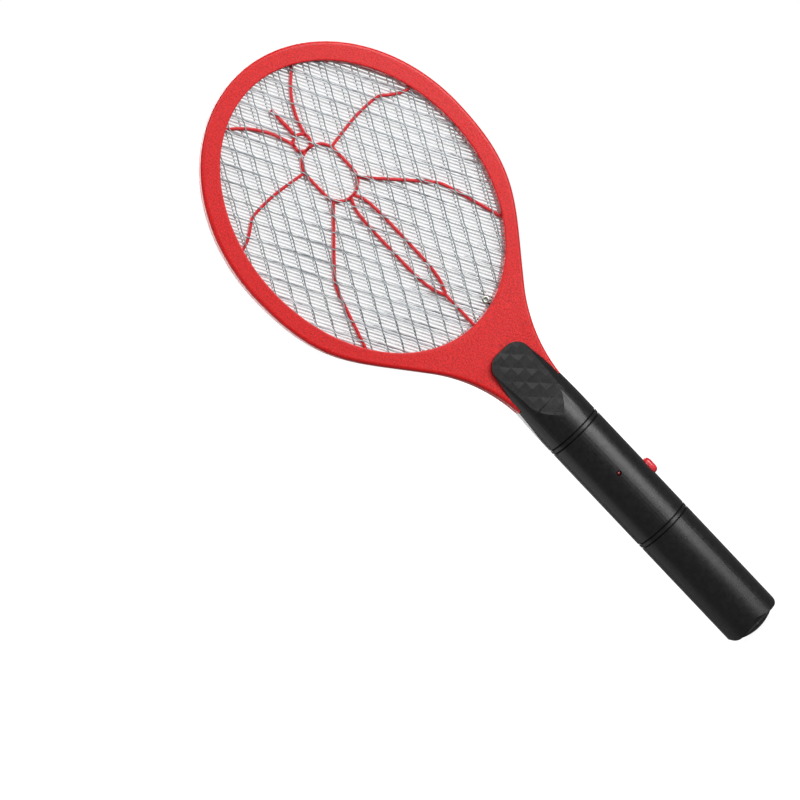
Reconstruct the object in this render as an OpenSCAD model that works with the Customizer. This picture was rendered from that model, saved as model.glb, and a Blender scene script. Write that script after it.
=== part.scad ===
// Electric fly swatter: a racket-shaped head of three metal layers in a two-part plastic
// frame, on a two-part handle that holds two AA cells, a switch and a voltage booster.
// It stands upright: +Z from the handle's end to the top of the head, front towards -Y.
// The origin is on the centre line, at the lowest point of the end tab.

/* [Head] */
// Width of the head's opening
opening_w = 149; // [120:1:185]
// Height of the head's opening
opening_h = 194.3; // [160:0.1:235]
// Width of the frame beside the opening
rim_w = 10.7; // [8:0.1:13]
// Width of the frame above the opening
rim_top = 11.1; // [8:0.1:14]
// How far the widest line lies above the opening's centre
wide_rise = 4.75; // [0:0.05:8]
// Thickness of the head over both frames
head_t = 13; // [12:0.1:16]
// How far the frames lap over the edges of the meshes
seat_w = 5; // [3:0.1:5.5]

/* [Neck] */
// Length of the neck, from the handle's shoulder to the opening
neck_len = 57.1; // [46:0.1:70]
// Thickness of the neck where the handle's tongues grip it
neck_t = 15; // [14:0.1:18]
// Radius of the hollow curve from the neck into the head
neck_r = 100; // [70:1:120]
// Angle at which the neck runs out into the head
flare_deg = 38.3; // [30:0.1:42]
// Length of the tenon that reaches down into the handle
tenon_len = 29.5; // [20:0.1:34]
// Width of the tenon
tenon_w = 30; // [24:0.1:31]
// Thickness of the tenon
tenon_t = 10; // [8:0.1:11]

/* [Metal layers] */
// Width of a mesh cell, knuckle to knuckle
cell_w = 10.6; // [8:0.1:13]
// Height of a mesh cell, knuckle to knuckle
cell_h = 19.8; // [15:0.1:24]
// Width of a mesh strand
strand_w = 0.8; // [0.7:0.05:1.4]
// Thickness of each outer mesh
mesh_t = 0.8; // [0.5:0.05:1]
// Thickness of the middle grid
grid_t = 0.8; // [0.5:0.05:1]
// Pitch of the middle grid's strips
strip_pitch = 1.9; // [1.8:0.05:3]
// Width of one strip of the middle grid
strip_w = 1.1; // [0.6:0.05:1.2]
// Lean of the strips from the racket's axis
strip_deg = 28; // [25:1:50]
// Thickness of each rib guard, which is the air gap between the layers
guard_t = 3; // [2.6:0.05:3.4]
// Width of a rib
rib_w = 1.8; // [1.4:0.1:2.4]
// Outer radius of the eyelets that join the leads to the meshes
eyelet_r = 2.4; // [2:0.1:2.8]

/* [Handle] */
// Length of the handle, from the tip of the end tab to the shoulder
handle_len = 197.5; // [190:0.1:240]
// Width of the handle
handle_w = 37.6; // [36.5:0.1:46]
// Thickness of the handle
handle_t = 30; // [28:0.1:36]
// Wall thickness of the shells
shell_wall = 2; // [1.6:0.1:2.4]
// Width of the handle at its shoulder
shoulder_w = 35.2; // [34:0.1:37]
// Length of the tongues over the neck
tongue_len = 35.2; // [28:0.1:38]
// Width of the tongues near their tips
tongue_w = 27.6; // [27:0.1:32]
// Thickness over both tongues at their tips
tongue_t = 20.8; // [20:0.1:24]
// Height of the lower pair of ring grooves
low_groove_z = 86.6; // [86:0.1:87]
// Height of the upper pair of ring grooves
high_groove_z = 165.5; // [162:0.1:168]
// Height of the end tab below the handle's end face
tab_h = 4.5; // [4:0.1:6]
// Width of the end tab
tab_w = 29; // [24:0.1:30]
// Thickness of the end tab
tab_t = 6; // [5:0.1:8]
// Radius of the lanyard hole in the end tab
lanyard_r = 1.2; // [1:0.05:1.4]

/* [Button and lamp] */
// Height of the button's centre
button_z = 118; // [114:0.1:122]
// Length of the button along the handle
button_l = 11; // [9:0.1:12]
// Width of the button across the handle
button_w = 7; // [6:0.1:8]
// How far the button stands out of the handle
button_out = 3.5; // [2.6:0.1:4]
// Travel of the button
button_travel = 1.5; // [0.8:0.1:1.8]
// Height of the indicator lamp
lamp_z = 130.5; // [127:0.1:131]
// Radius of the indicator lamp
lamp_r = 1.5; // [1.5:0.1:1.6]

/* [Cells and cover] */
// Radius of an AA cell
cell_r = 7.15; // [7:0.05:7.25]
// Length of an AA cell with its cap
cell_len = 50.5; // [49.5:0.1:50.5]
// Lower inside end of the cell space
bay_z = 22; // [20:0.1:23]
// Room for one compressed cell spring
spring_len = 8.6; // [6:0.1:9]
// Width of the battery cover
cover_w = 26.8; // [24:0.1:28]
// Width of the cover's latch finger
latch_w = 14; // [10:0.1:16]

/* [Screws] */
// Radius of the screws' shanks
screw_r = 1.3; // [1.1:0.05:1.4]
// Radius of the screws' heads
head_r = 2.6; // [2.2:0.1:2.8]
// Height of the screws' heads
head_h = 1.5; // [1.2:0.1:1.6]
// Offset of the two lower neck screws from the centre line
neck_screw_x = 6.3; // [5.8:0.1:7]

/* [Hidden] */

$fn = 48;
fit = 0.3;                                    // gap around pieces that drop into place
run_gap = 0.05;                               // radial gap of a sliding fit
thread_gap = 0.02;                            // radial gap of a screw in its pilot hole
far = 400;                                    // longer than any cut needs to be

// Heights of the head
shoulder_z = handle_len;
opening_z0 = shoulder_z + neck_len;
centre_z = opening_z0 + opening_h / 2;
top_z = opening_z0 + opening_h + rim_top;
wide_z = centre_z + wide_rise;
half_w = opening_w / 2 + rim_w;

// Layers of the head, measured from the parting plane
grid_y = grid_t / 2;
guard_y = grid_y + guard_t;
mesh_y = guard_y + mesh_t;

// Neck
neck_hw = shoulder_w / 2 - 0.5;
neck_curve_z = shoulder_z - 8.5;
flare_z = opening_z0 + 5.4;
// The hollow curve keeps its radius, unless the neck is too short for it
hollow_r = min(neck_r, (flare_z - 1 - neck_curve_z) / sin(flare_deg));
flare_start = asin((shoulder_z - neck_curve_z) / hollow_r);
flare_x = neck_hw + hollow_r * (1 - cos(flare_deg))
    + (flare_z - neck_curve_z - hollow_r * sin(flare_deg)) * tan(flare_deg);
swell_z0 = shoulder_z + tongue_len + 2;
swell_z1 = opening_z0 + 6;
wire_depth = 3.4;                             // depth of the lead chamber in each frame
wire_x = 3.4;                                 // half width of the lead channel in the tenon
post_r = 3;                                   // post around the upper neck screw
upper_screw_z = shoulder_z + 25;
lower_screw_z = shoulder_z + 5.1;
neck_seat_y = neck_t / 2 + 1.5;               // where the neck screws' heads bear
neck_screw_tip = neck_t / 2 + 1.5;
chamber_z0 = upper_screw_z - 11;              // where the chamber narrows to the channel
chamber_hw = 8;
chamber_z1 = upper_screw_z + 6;               // where the chamber begins to widen again
tenon_z0 = shoulder_z - tenon_len;

// Eyelets, low on the right-hand side of the opening. The back mesh lies a little off the front one.
front_eyelet = [15.4, opening_z0 + 6];
back_eyelet = front_eyelet + [2.2, 2.4];
back_turn = 1;
eyelet_lip = 0.35;
eyelet_bore_r = 0.8;
eyelet_barrel_r = 1.35;

// Handle
end_z = tab_h;
end_wall = 2.5;
corner_r = 4;
taper_z = shoulder_z - 18.5;                  // where the thickness begins to fall
narrow_z = shoulder_z - 25.5;                 // where the hollow narrows
tongue_r = 9.6;                               // corner radius of the tongues' tips
inner_w = handle_w - 2 * shell_wall;
inner_t = handle_t - 2 * shell_wall;
shoulder_t = handle_t - 6.2;
upper_cavity_t = shoulder_t - 5;
upper_cavity_z = shoulder_z - 9.5;
groove_w = 1.1;
groove_depth = 0.6;
groove_gap = 3;
boss_r = 3.4;
seat_drop = 4;                                // depth of the handle screws' heads
handle_seat_y = handle_t / 2 - seat_drop;
handle_screw_len = 16.5;
end_screw_z = end_z + 3.6;
lanyard_z = 3;
tab_sag = 3.9;                                // rise of the end tab's curved edge

// Cell space
wall_t = 2;
plate_t = 0.5;
nub_h = 0.5;
nub_r = 2;
cell_x = cell_r + 0.2;
cap_r = 2.75;
cap_h = 1;
bay_len = 2 * plate_t + nub_h + cell_len + spring_len;
bay_top_z = bay_z + bay_len;
spring_wire_r = 0.4;
spring_turns = 4;
spring_r0 = 4.2;
spring_r1 = 2.8;
cover_z0 = bay_z + 3;
cover_z1 = bay_top_z + 1.1;
latch_z0 = cover_z0 - 3.8;
slot_z0 = latch_z0 - 0.4;
thumb_z0 = slot_z0 - 8.1;
handle_screw_z = bay_top_z + wall_t + 7.8;
hook_x0 = 1.5;
hook_x1 = 5;

// Board and switch
board_y0 = 3.3;
board_t = 1.6;
board_hw = inner_w / 2 - 4.8;
board_z0 = handle_screw_z + boss_r + 2.2;
board_z1 = high_groove_z - 5.5;
flange_t = 2;
flange_margin = 1.8;
button_in = handle_w / 2 - shell_wall - 0.9 - flange_t;  // inner face of the button
switch_s = 6;
switch_x1 = button_in - 2.4;
switch_x0 = switch_x1 - 5;
plunger_r = 1.75;
plunger_in = 1;                               // plunger length inside the body at rest
coil_z = lamp_z + 12;
coil_x = -3;
coil_y = board_y0 - 5.2;
leg_r = 1.8;
bobbin_r = 2.6;
winding_r = 4.9;
window_x = 5.3;
window_hz = 4.4;
core_hx = 7;
core_hz = 6.2;
core_hy = 3;
lead_r = 0.65;
pin_r = 0.3;

// ---------------------------------------------------------------- shared shapes

// An upright outline (x, z) carried from y0 to y1
module slab(y0, y1) {
    translate([0, y1, 0]) rotate([90, 0, 0]) linear_extrude(y1 - y0) children();
}

// A side outline (y, z) carried across the whole width
module across(half_width) {
    rotate([90, 0, 90]) translate([0, 0, -half_width]) linear_extrude(2 * half_width) children();
}

// A cylinder along Y from y0 to y1, at x and z
module peg(x, z, r, y0, y1) {
    translate([x, y1, z]) rotate([90, 0, 0]) cylinder(r = r, h = y1 - y0);
}

// A box given by two corners
module block(low, high) {
    translate(low) cube(high - low);
}

function bezier(p, t) = pow(1 - t, 3) * p[0] + 3 * t * pow(1 - t, 2) * p[1]
    + 3 * t * t * (1 - t) * p[2] + pow(t, 3) * p[3];
function curve(p, n) = [for (i = [0 : n]) bezier(p, i / n)];
function turned(list) = [for (i = [len(list) - 1 : -1 : 0]) list[i]];
function flipped(list) = [for (p = turned(list)) [-p[0], p[1]]];

// An ellipse about the opening's centre, grown by g
function ellipse_points(g, n = 72) = [for (i = [0 : n - 1])
    [(opening_w / 2 + g) * cos(360 * i / n), centre_z + (opening_h / 2 + g) * sin(360 * i / n)]];

// Oval section of the handle
function oval(w, t, n = 60) = [for (i = [0 : n - 1])
    [w / 2 * cos(360 * i / n), t / 2 * sin(360 * i / n)]];

// A path of constant width w, as one outline
function direction(p, i) = let (d = p[min(i + 1, len(p) - 1)] - p[max(i - 1, 0)]) d / norm(d);
function edge_of(p, w) = [for (i = [0 : len(p) - 1])
    let (d = direction(p, i)) p[i] + w / 2 * [-d[1], d[0]]];
module path_strip(p, w) {
    polygon(concat(edge_of(p, -w), turned(edge_of(p, w))));
}

// A wire through the given points, eight-sided
function ring_at(p, i, r) =
    let (d = p[min(i + 1, len(p) - 1)] - p[max(i - 1, 0)])
    let (w = d / norm(d))
    let (u = cross(w, abs(w[0]) < 0.8 ? [1, 0, 0] : [0, 1, 0]))
    let (u1 = u / norm(u))
    let (v1 = cross(w, u1))
    [for (k = [0 : 7]) p[i] + r * (cos(45 * k) * u1 + sin(45 * k) * v1)];
module wire(p, r, colour) {
    n = len(p);
    points = [for (i = [0 : n - 1]) each ring_at(p, i, r)];
    sides = [for (i = [0 : n - 2]) for (k = [0 : 7])
        [8 * i + k, 8 * i + (k + 1) % 8, 8 * (i + 1) + (k + 1) % 8, 8 * (i + 1) + k]];
    caps = [[for (k = [7 : -1 : 0]) k], [for (k = [0 : 7]) 8 * (n - 1) + k]];
    color(colour) polyhedron(points, concat(sides, caps), convexity = 6);
}

// ---------------------------------------------------------------- frames

// Outline of the head with its neck, above the shoulder
function neck_side(n = 8) = [for (i = [0 : n])
    let (a = flare_start + (flare_deg - flare_start) * i / n)
    [neck_hw + hollow_r * (1 - cos(a)), neck_curve_z + hollow_r * sin(a)]];
function head_side() = let (rise = wide_z - flare_z)
    curve([[flare_x, flare_z], [flare_x + 0.34 * rise * tan(flare_deg), flare_z + 0.34 * rise],
        [half_w, wide_z - 0.52 * rise], [half_w, wide_z]], 14);
function head_top(n = 36) = [for (i = [1 : n - 1])
    [half_w * cos(180 * i / n), wide_z + (top_z - wide_z) * sin(180 * i / n)]];
function head_outline() = concat(neck_side(), head_side(), head_top(),
    flipped(concat(neck_side(), head_side())));

// Half width of the lead chamber where it widens, at height z
function chamber_x(z) = chamber_hw
    + (back_eyelet[0] + 4 - chamber_hw) * (z - chamber_z1) / (opening_z0 + 3 - chamber_z1);

// The chamber for the leads, which passes both sides of the upper screw's post
module lead_chamber() {
    difference() {
        polygon([[-wire_x, tenon_z0 - 1], [wire_x, tenon_z0 - 1], [wire_x, chamber_z0 - 4],
            [chamber_hw, chamber_z0], [chamber_hw, chamber_z1],
            [back_eyelet[0] + 4, opening_z0 + 3], [-back_eyelet[0] - 4, opening_z0 + 3],
            [-chamber_hw, chamber_z1], [-chamber_hw, chamber_z0], [-wire_x, chamber_z0 - 4]]);
        translate([0, upper_screw_z]) circle(post_r);
    }
}

// One frame half on the side of -Y
module frame_half() {
    difference() {
        union() {
            intersection() {
                slab(-neck_t, 0) polygon(head_outline());
                across(half_w + 1) polygon([[0, shoulder_z], [-neck_t / 2, shoulder_z],
                    [-neck_t / 2, swell_z0], [-head_t / 2, swell_z1],
                    [-head_t / 2, top_z + 1], [0, top_z + 1]]);
            }
            block([-tenon_w / 2, -tenon_t / 2, tenon_z0], [tenon_w / 2, 0, shoulder_z + 1]);
        }
        slab(-head_t, 1) polygon(ellipse_points(0));
        slab(-mesh_y, 1) polygon(ellipse_points(seat_w));
        slab(-wire_depth, 1) lead_chamber();
        for (p = screw_spots()) peg(p[0], p[1], screw_r + fit, -neck_t, 1);
    }
}
function screw_spots() = [[0, upper_screw_z], [-neck_screw_x, lower_screw_z],
    [neck_screw_x, lower_screw_z]];

module front_frame() { color([0.80, 0.07, 0.09]) frame_half(); }
module back_frame() { color([0.78, 0.07, 0.09]) mirror([0, 1, 0]) frame_half(); }

// ---------------------------------------------------------------- metal layers

strand_len = norm([cell_w / 2, cell_h / 2]);
hole_share = 1 - strand_w * strand_len / (cell_w * cell_h / 2);
edge_g = seat_w - fit;

// A point turned about the origin
function spun(p, a) = [p[0] * cos(a) - p[1] * sin(a), p[0] * sin(a) + p[1] * cos(a)];

// Diamond mesh in an edge band, turned by a, with a knuckle behind the eyelet at spot
module mesh_outline(spot, a) {
    n = ceil(2 * opening_h / cell_h) + 2;
    m = ceil(opening_w / cell_w) + 2;
    hx = hole_share * cell_w / 2;
    hz = hole_share * cell_h / 2;
    difference() {
        union() {
            difference() {
                polygon(ellipse_points(edge_g));
                for (j = [-n : n])
                    for (i = [-m : m])
                        let (p = spot + spun([(i + (j % 2 == 0 ? 0.5 : 0)) * cell_w, j * cell_h / 2], a))
                        if (norm([p[0] / (opening_w / 2 + edge_g + 6),
                            (p[1] - centre_z) / (opening_h / 2 + edge_g + 10)]) < 1)
                            translate(p) rotate(a)
                                polygon([[hx, 0], [0, hz], [-hx, 0], [0, -hz]]);
            }
            difference() {
                polygon(ellipse_points(edge_g));
                polygon(ellipse_points(edge_g - 1.2));
            }
            translate(spot) circle(eyelet_r - 0.1);
        }
        translate(spot) circle(eyelet_barrel_r + run_gap);
    }
}

module front_mesh() { color([0.55, 0.57, 0.58]) slab(-mesh_y, -guard_y) mesh_outline(front_eyelet, 0); }
module back_mesh() { color([0.50, 0.52, 0.53]) slab(guard_y, mesh_y) mesh_outline(back_eyelet, back_turn); }

// Parallel strips in an edge band, with a solder tab at the bottom
module middle_grid() {
    a = opening_w / 2 + edge_g - 1.5;
    b = opening_h / 2 + edge_g - 1.5;
    u = [-sin(strip_deg), cos(strip_deg)];
    v = [cos(strip_deg), sin(strip_deg)];
    reach = norm([a * v[0], b * v[1]]);
    count = floor(reach / strip_pitch);
    slot = (strip_pitch - strip_w) / 2;
    tab_z0 = opening_z0 - seat_w - 6;
    color([0.78, 0.80, 0.81]) slab(-grid_y, grid_y) {
        difference() {
            polygon(ellipse_points(edge_g));
            for (i = [-count : count])
                let (c = i * strip_pitch)
                let (qa = pow(u[0] / a, 2) + pow(u[1] / b, 2))
                let (qb = c * (u[0] * v[0] / (a * a) + u[1] * v[1] / (b * b)))
                let (qc = c * c * (pow(v[0] / a, 2) + pow(v[1] / b, 2)) - 1)
                let (root = qb * qb - qa * qc)
                if (root > 0.0000001)
                    translate([0, centre_z])
                        polygon([for (k = [[-1, -1], [1, -1], [1, 1], [-1, 1]])
                            (c + k[1] * slot) * v + (-qb + k[0] * sqrt(root)) / qa * u]);
        }
        translate([-2, tab_z0]) square([4, 8]);
    }
}

// ---------------------------------------------------------------- rib guards

// A point given as shares of the opening's half width and half height
function share(x, z) = [x * opening_w / 2, centre_z + z * opening_h / 2];

// The rib pattern: a round, a long loop, a leaf on a stem, and bent arms out to the edge
module rib_pattern() {
    small_z = share(0, 0.545)[1];
    loop_r = 0.155 * opening_w / 2;
    loop_z0 = share(0, 0.095)[1] + loop_r;
    loop_z1 = small_z - 5.2 - loop_r;
    arms = [
        [share(0.15, 0.40), share(0.46, 0.435), share(0.71, 0.43), share(0.78, 0.385),
            share(0.88, 0.335), share(1.0, 0.315)],
        [share(0.13, 0.16), share(0.575, -0.20), share(0.62, -0.27), share(0.78, -0.66)],
        curve([share(0.06, 0.55), share(0.10, 0.72), share(0.22, 0.85), share(0.42, 0.95)], 8)
    ];
    difference() {
        translate([0, small_z]) circle(5.2 + rib_w / 2);
        translate([0, small_z]) circle(5.2 - rib_w / 2);
    }
    difference() {
        loop_outline(loop_r + rib_w / 2, loop_z0, loop_z1);
        loop_outline(loop_r - rib_w / 2, loop_z0, loop_z1);
    }
    for (p = arms) {
        path_strip(p, rib_w);
        path_strip(flipped(p), rib_w);
    }
    leaf = [share(0.012, 0.10), share(0.072, 0), share(0.072, -0.53), share(0.05, -0.66),
        share(0.006, -0.74)];
    path_strip(leaf, rib_w);
    path_strip(flipped(leaf), rib_w);
    path_strip([share(0, -0.72), share(0, -1.02)], rib_w);
    path_strip([[0, small_z + 5], share(0, 0.82)], rib_w * 1.2);
}

// An upright loop with round ends
module loop_outline(r, z0, z1) {
    polygon(concat([for (i = [0 : 16]) [r * cos(11.25 * i), z1 + r * sin(11.25 * i)]],
        [for (i = [0 : 16]) [-r * cos(11.25 * i), z0 - r * sin(11.25 * i)]]));
}

// One guard on the side of -Y: the ribs in their ring, with a notch for the mesh lead
module guard_half(notch_x) {
    difference() {
        slab(-guard_y, -grid_y) {
            difference() {
                polygon(ellipse_points(edge_g));
                polygon(ellipse_points(0.3));
            }
            rib_pattern();
        }
        block([notch_x - 1.5, -guard_y - 1, opening_z0 - seat_w - 6],
            [notch_x + 1.5, -grid_y - 0.6, opening_z0 + 4]);
    }
}
module front_rib_guard() { color([0.70, 0.05, 0.07]) guard_half(front_eyelet[0]); }
module back_rib_guard() {
    color([0.66, 0.05, 0.07]) mirror([0, 1, 0]) guard_half(back_eyelet[0]);
}

// Two eyelets, each riveted through one outer mesh
module mesh_eyelet(spot) {
    difference() {
        union() {
            peg(spot[0], spot[1], eyelet_r, -mesh_y - eyelet_lip, -mesh_y);
            peg(spot[0], spot[1], eyelet_barrel_r, -mesh_y - 0.1, -guard_y + 0.1);
            peg(spot[0], spot[1], eyelet_r - 0.3, -guard_y, -guard_y + eyelet_lip);
        }
        peg(spot[0], spot[1], eyelet_bore_r, -mesh_y - 1, -guard_y + 1);
    }
}
module mesh_eyelets() {
    color([0.80, 0.80, 0.78]) {
        mesh_eyelet(front_eyelet);
        mirror([0, 1, 0]) mesh_eyelet(back_eyelet);
    }
}

// ---------------------------------------------------------------- handle shells

// Front outline of a shell: rounded end, straight sides, tongue over the neck
function end_corner(n = 7) = [for (i = [0 : n]) let (a = -90 + 90 * i / n)
    [handle_w / 2 - corner_r + corner_r * cos(a), end_z + corner_r + corner_r * sin(a)]];
function tongue_side() = concat(
    curve([[shoulder_w / 2, shoulder_z], [shoulder_w / 2 - 1.2, shoulder_z + 7],
        [tongue_w / 2 + 1.1, shoulder_z + 16],
        [tongue_w / 2, shoulder_z + tongue_len - tongue_r]], 8),
    [for (i = [1 : 8]) let (a = 90 * i / 8) [tongue_w / 2 - tongue_r + tongue_r * cos(a),
        shoulder_z + tongue_len - tongue_r + tongue_r * sin(a)]]);
function shell_side() = concat(end_corner(),
    [[handle_w / 2 + 0.5, end_z + corner_r + 0.5], [handle_w / 2 + 0.5, high_groove_z]],
    tongue_side());
function side_corner(n = 6) = [for (i = [0 : n]) let (a = 90 * i / n)
    [-handle_t / 2 + corner_r - corner_r * sin(a), end_z + corner_r - corner_r * cos(a)]];

// Side line of the front, falling from the handle's full thickness to the tongue
function shoulder_ramp() = curve([[-handle_t / 2, taper_z], [-handle_t / 2 + 0.1, taper_z + 7],
    [-shoulder_t / 2 - 0.2, taper_z + 11], [-shoulder_t / 2, shoulder_z + 1.5]], 16);

// Solid front half of the handle
module handle_half() {
    intersection() {
        linear_extrude(shoulder_z + tongue_len + 1) polygon(oval(handle_w, handle_t));
        slab(-handle_t, 0) polygon(concat(shell_side(), flipped(shell_side())));
        across(handle_w) polygon(concat([[0, end_z]], side_corner(), shoulder_ramp(),
            [[-tongue_t / 2, shoulder_z + tongue_len - 2],
            [-tongue_t / 2 + 1.2, shoulder_z + tongue_len + 1], [0, shoulder_z + tongue_len + 1]]));
    }
}

// The hollow inside the handle
module handle_hollow() {
    translate([0, 0, end_z + end_wall])
        linear_extrude(narrow_z - end_z - end_wall) polygon(oval(inner_w, inner_t));
    translate([0, 0, narrow_z - 1])
        linear_extrude(upper_cavity_z - narrow_z + 1) polygon(oval(inner_w - 3, upper_cavity_t));
}

// What the neck and its tenon take out of the shells
module neck_space() {
    block([-tenon_w / 2 - fit / 2, -tenon_t / 2 - fit / 2, tenon_z0 - 1],
        [tenon_w / 2 + fit / 2, tenon_t / 2 + fit / 2, shoulder_z + 1]);
    block([-handle_w, -neck_t / 2, shoulder_z], [handle_w, neck_t / 2, far]);
}

// A pair of ring grooves about height z
module ring_grooves(z) {
    for (s = [-1, 1]) translate([0, 0, z + s * groove_gap / 2 - groove_w / 2])
        linear_extrude(groove_w) difference() {
            square([handle_w + 4, handle_t + 4], center = true);
            polygon(oval(handle_w - 2 * groove_depth, handle_t - 2 * groove_depth));
        }
}

// A bar of length l along Z and width w along Y, with round ends, carried from x0 to x1
module button_bar(x0, x1, l, w) {
    r = w / 2;
    d = (l - w) / 2;
    translate([x0, 0, button_z]) rotate([0, 90, 0]) linear_extrude(x1 - x0)
        polygon([for (s = [0, 180]) for (i = [0 : 12]) let (a = s - 90 + 15 * i)
            [(s == 0 ? d : -d) + r * cos(a), r * sin(a)]]);
}

// What both shells lose: hollow, neck, grooves, button
module shell_cuts() {
    neck_space();
    ring_grooves(low_groove_z);
    ring_grooves(high_groove_z);
    button_bar(inner_w / 2 - 3, handle_w, button_l + 2 * fit, button_w + 2 * fit);
}

// Cross wall of the cell space, with slots for the contacts' tabs
module bay_wall(z) {
    difference() {
        intersection() {
            translate([0, 0, z]) linear_extrude(wall_t) polygon(oval(inner_w + 1, inner_t + 1));
            block([-far, -far, 0], [far, -fit / 2, far]);
        }
        for (s = [-1, 1]) block([s * cell_x - 1.3, -5.9, z - 1], [s * cell_x + 1.3, -4.9, z + wall_t + 1]);
    }
}

// Cradle ribs under the cells
module cradle(z) {
    difference() {
        intersection() {
            translate([0, 0, z]) linear_extrude(wall_t) polygon(oval(inner_w + 1, inner_t + 1));
            block([-far, -far, 0], [far, -3, far]);
        }
        for (s = [-1, 1]) translate([s * cell_x, 0, z - 1]) cylinder(r = cell_r + 0.1, h = wall_t + 2);
    }
}

board_post_r = 2;
post_spots = [[-board_hw + 3, board_z1 - 3], [board_hw - 3, board_z0 + 3]];

module handle_front_shell() {
    color([0.10, 0.10, 0.11]) difference() {
        union() {
            difference() {
                handle_half();
                handle_hollow();
            }
            intersection() {
                handle_half();
                union() {
                    bay_wall(bay_z - wall_t);
                    bay_wall(bay_top_z);
                    cradle(bay_z + 14);
                    cradle(bay_z + 44);
                    for (z = [end_screw_z, handle_screw_z]) peg(0, z, boss_r, -handle_t / 2, 0);
                }
            }
            for (p = post_spots) peg(p[0], p[1], board_post_r, -inner_t / 2 + 2.5, board_y0);
            end_tab();
        }
        shell_cuts();
        for (z = [end_screw_z, handle_screw_z])
            peg(0, z, screw_r + thread_gap, handle_seat_y - handle_screw_len - 0.3, 1);
        for (p = screw_spots()) peg(p[0], p[1], screw_r + thread_gap, -neck_screw_tip - 0.3, 1);
        peg(0, lamp_z, lamp_r + fit / 2, -handle_t, -inner_t / 2 + 1);
        peg(0, lanyard_z, lanyard_r, -handle_t, handle_t);
    }
}

// The end tab, a flat lip with a curved edge
module end_tab() {
    tab_r = (tab_w * tab_w / 4 + tab_sag * tab_sag) / (2 * tab_sag);
    tab_a = asin(tab_w / 2 / tab_r);
    slab(-tab_t / 2, tab_t / 2) polygon(concat([[tab_w / 2, end_z], [-tab_w / 2, end_z]],
        [for (i = [0 : 12]) let (a = -tab_a + 2 * tab_a * i / 12)
            [tab_r * sin(a), tab_r * (1 - cos(a))]]));
    block([-tab_w / 2, -tab_t / 2, end_z - 0.5], [tab_w / 2, 0, end_z + 0.5]);
}

module handle_back_shell() {
    color([0.10, 0.10, 0.11]) difference() {
        union() {
            difference() {
                mirror([0, 1, 0]) handle_half();
                handle_hollow();
            }
            intersection() {
                mirror([0, 1, 0]) handle_half();
                for (z = [end_screw_z, handle_screw_z]) peg(0, z, boss_r, 0, handle_t / 2);
            }
            for (z = [board_z0 + 4, board_z1 - 4])
                peg(0, z, board_post_r, board_y0 + board_t, inner_t / 2 + 1);
        }
        shell_cuts();
        block([-cover_w / 2, 1, cover_z0], [cover_w / 2, far, cover_z1]);
        block([-latch_w / 2, 1, slot_z0], [latch_w / 2, far, cover_z0 + 1]);
        block([-latch_w / 2, handle_t / 2 - 0.9, thumb_z0], [latch_w / 2, far, slot_z0 + 1]);
        for (z = [end_screw_z, handle_screw_z]) {
            peg(0, z, screw_r + fit / 2, -1, far);
            peg(0, z, head_r + fit, handle_seat_y, far);
        }
        for (p = screw_spots()) {
            peg(p[0], p[1], screw_r + fit / 2, 0, far);
            peg(p[0], p[1], head_r + fit, neck_seat_y, far);
        }
    }
}

// The cover carries on the shell's surface over the cells, with two hooks and a latch finger
module battery_cover() {
    color([0.11, 0.11, 0.12]) {
        intersection() {
            difference() {
                translate([0, 0, latch_z0]) linear_extrude(cover_z1 - latch_z0)
                    polygon(oval(handle_w, handle_t));
                translate([0, 0, latch_z0 - 1]) linear_extrude(cover_z1 - latch_z0 + 2)
                    polygon(oval(inner_w, inner_t));
            }
            union() {
                block([-cover_w / 2 + fit, 2, cover_z0 + fit], [cover_w / 2 - fit, far, cover_z1 - fit]);
                block([-latch_w / 2 + fit, 2, latch_z0], [latch_w / 2 - fit, far, cover_z0 + 1]);
            }
        }
        for (s = [0, 1]) mirror([s, 0, 0]) {
            block([hook_x0, inner_t / 2 - 1.8, cover_z1 - 4.2],
                [hook_x1, inner_t / 2 + 0.2, cover_z1 - 0.9]);
            block([hook_x0, inner_t / 2 - 1.8, cover_z1 - 0.95],
                [hook_x1, inner_t / 2 - 0.95, cover_z1 + 1.7]);
        }
    }
}

// ---------------------------------------------------------------- button and switch

module push_button() {
    color([0.85, 0.16, 0.20]) {
        button_bar(button_in, button_in + flange_t, button_l + 2 * flange_margin, button_w);
        button_bar(button_in + flange_t - 0.1, handle_w / 2 + button_out, button_l, button_w);
    }
}

module switch_body() {
    color([0.15, 0.15, 0.16]) difference() {
        block([switch_x0, board_y0 - switch_s, button_z - switch_s / 2],
            [switch_x1, board_y0, button_z + switch_s / 2]);
        translate([switch_x1 - plunger_in - button_travel - 0.3, 0, button_z]) rotate([0, 90, 0])
            cylinder(r = plunger_r + run_gap, h = 10);
    }
}

module switch_plunger() {
    color([0.90, 0.88, 0.80]) translate([switch_x1 - plunger_in, 0, button_z]) rotate([0, 90, 0])
        cylinder(r = plunger_r, h = button_in - 0.1 - switch_x1 + plunger_in);
}

// ---------------------------------------------------------------- board and its pieces

module circuit_board() {
    color([0.75, 0.60, 0.30])
        block([-board_hw, board_y0, board_z0], [board_hw, board_y0 + board_t, board_z1]);
}

module transformer_core() {
    color([0.25, 0.25, 0.27]) translate([coil_x, coil_y, coil_z]) {
        difference() {
            block([-core_hx, -core_hy, -core_hz], [core_hx, core_hy, core_hz]);
            block([-window_x, -core_hy - 1, -window_hz], [window_x, core_hy + 1, window_hz]);
        }
        translate([0, 0, -window_hz - 0.1]) cylinder(r = leg_r, h = 2 * window_hz + 0.2);
    }
}

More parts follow.
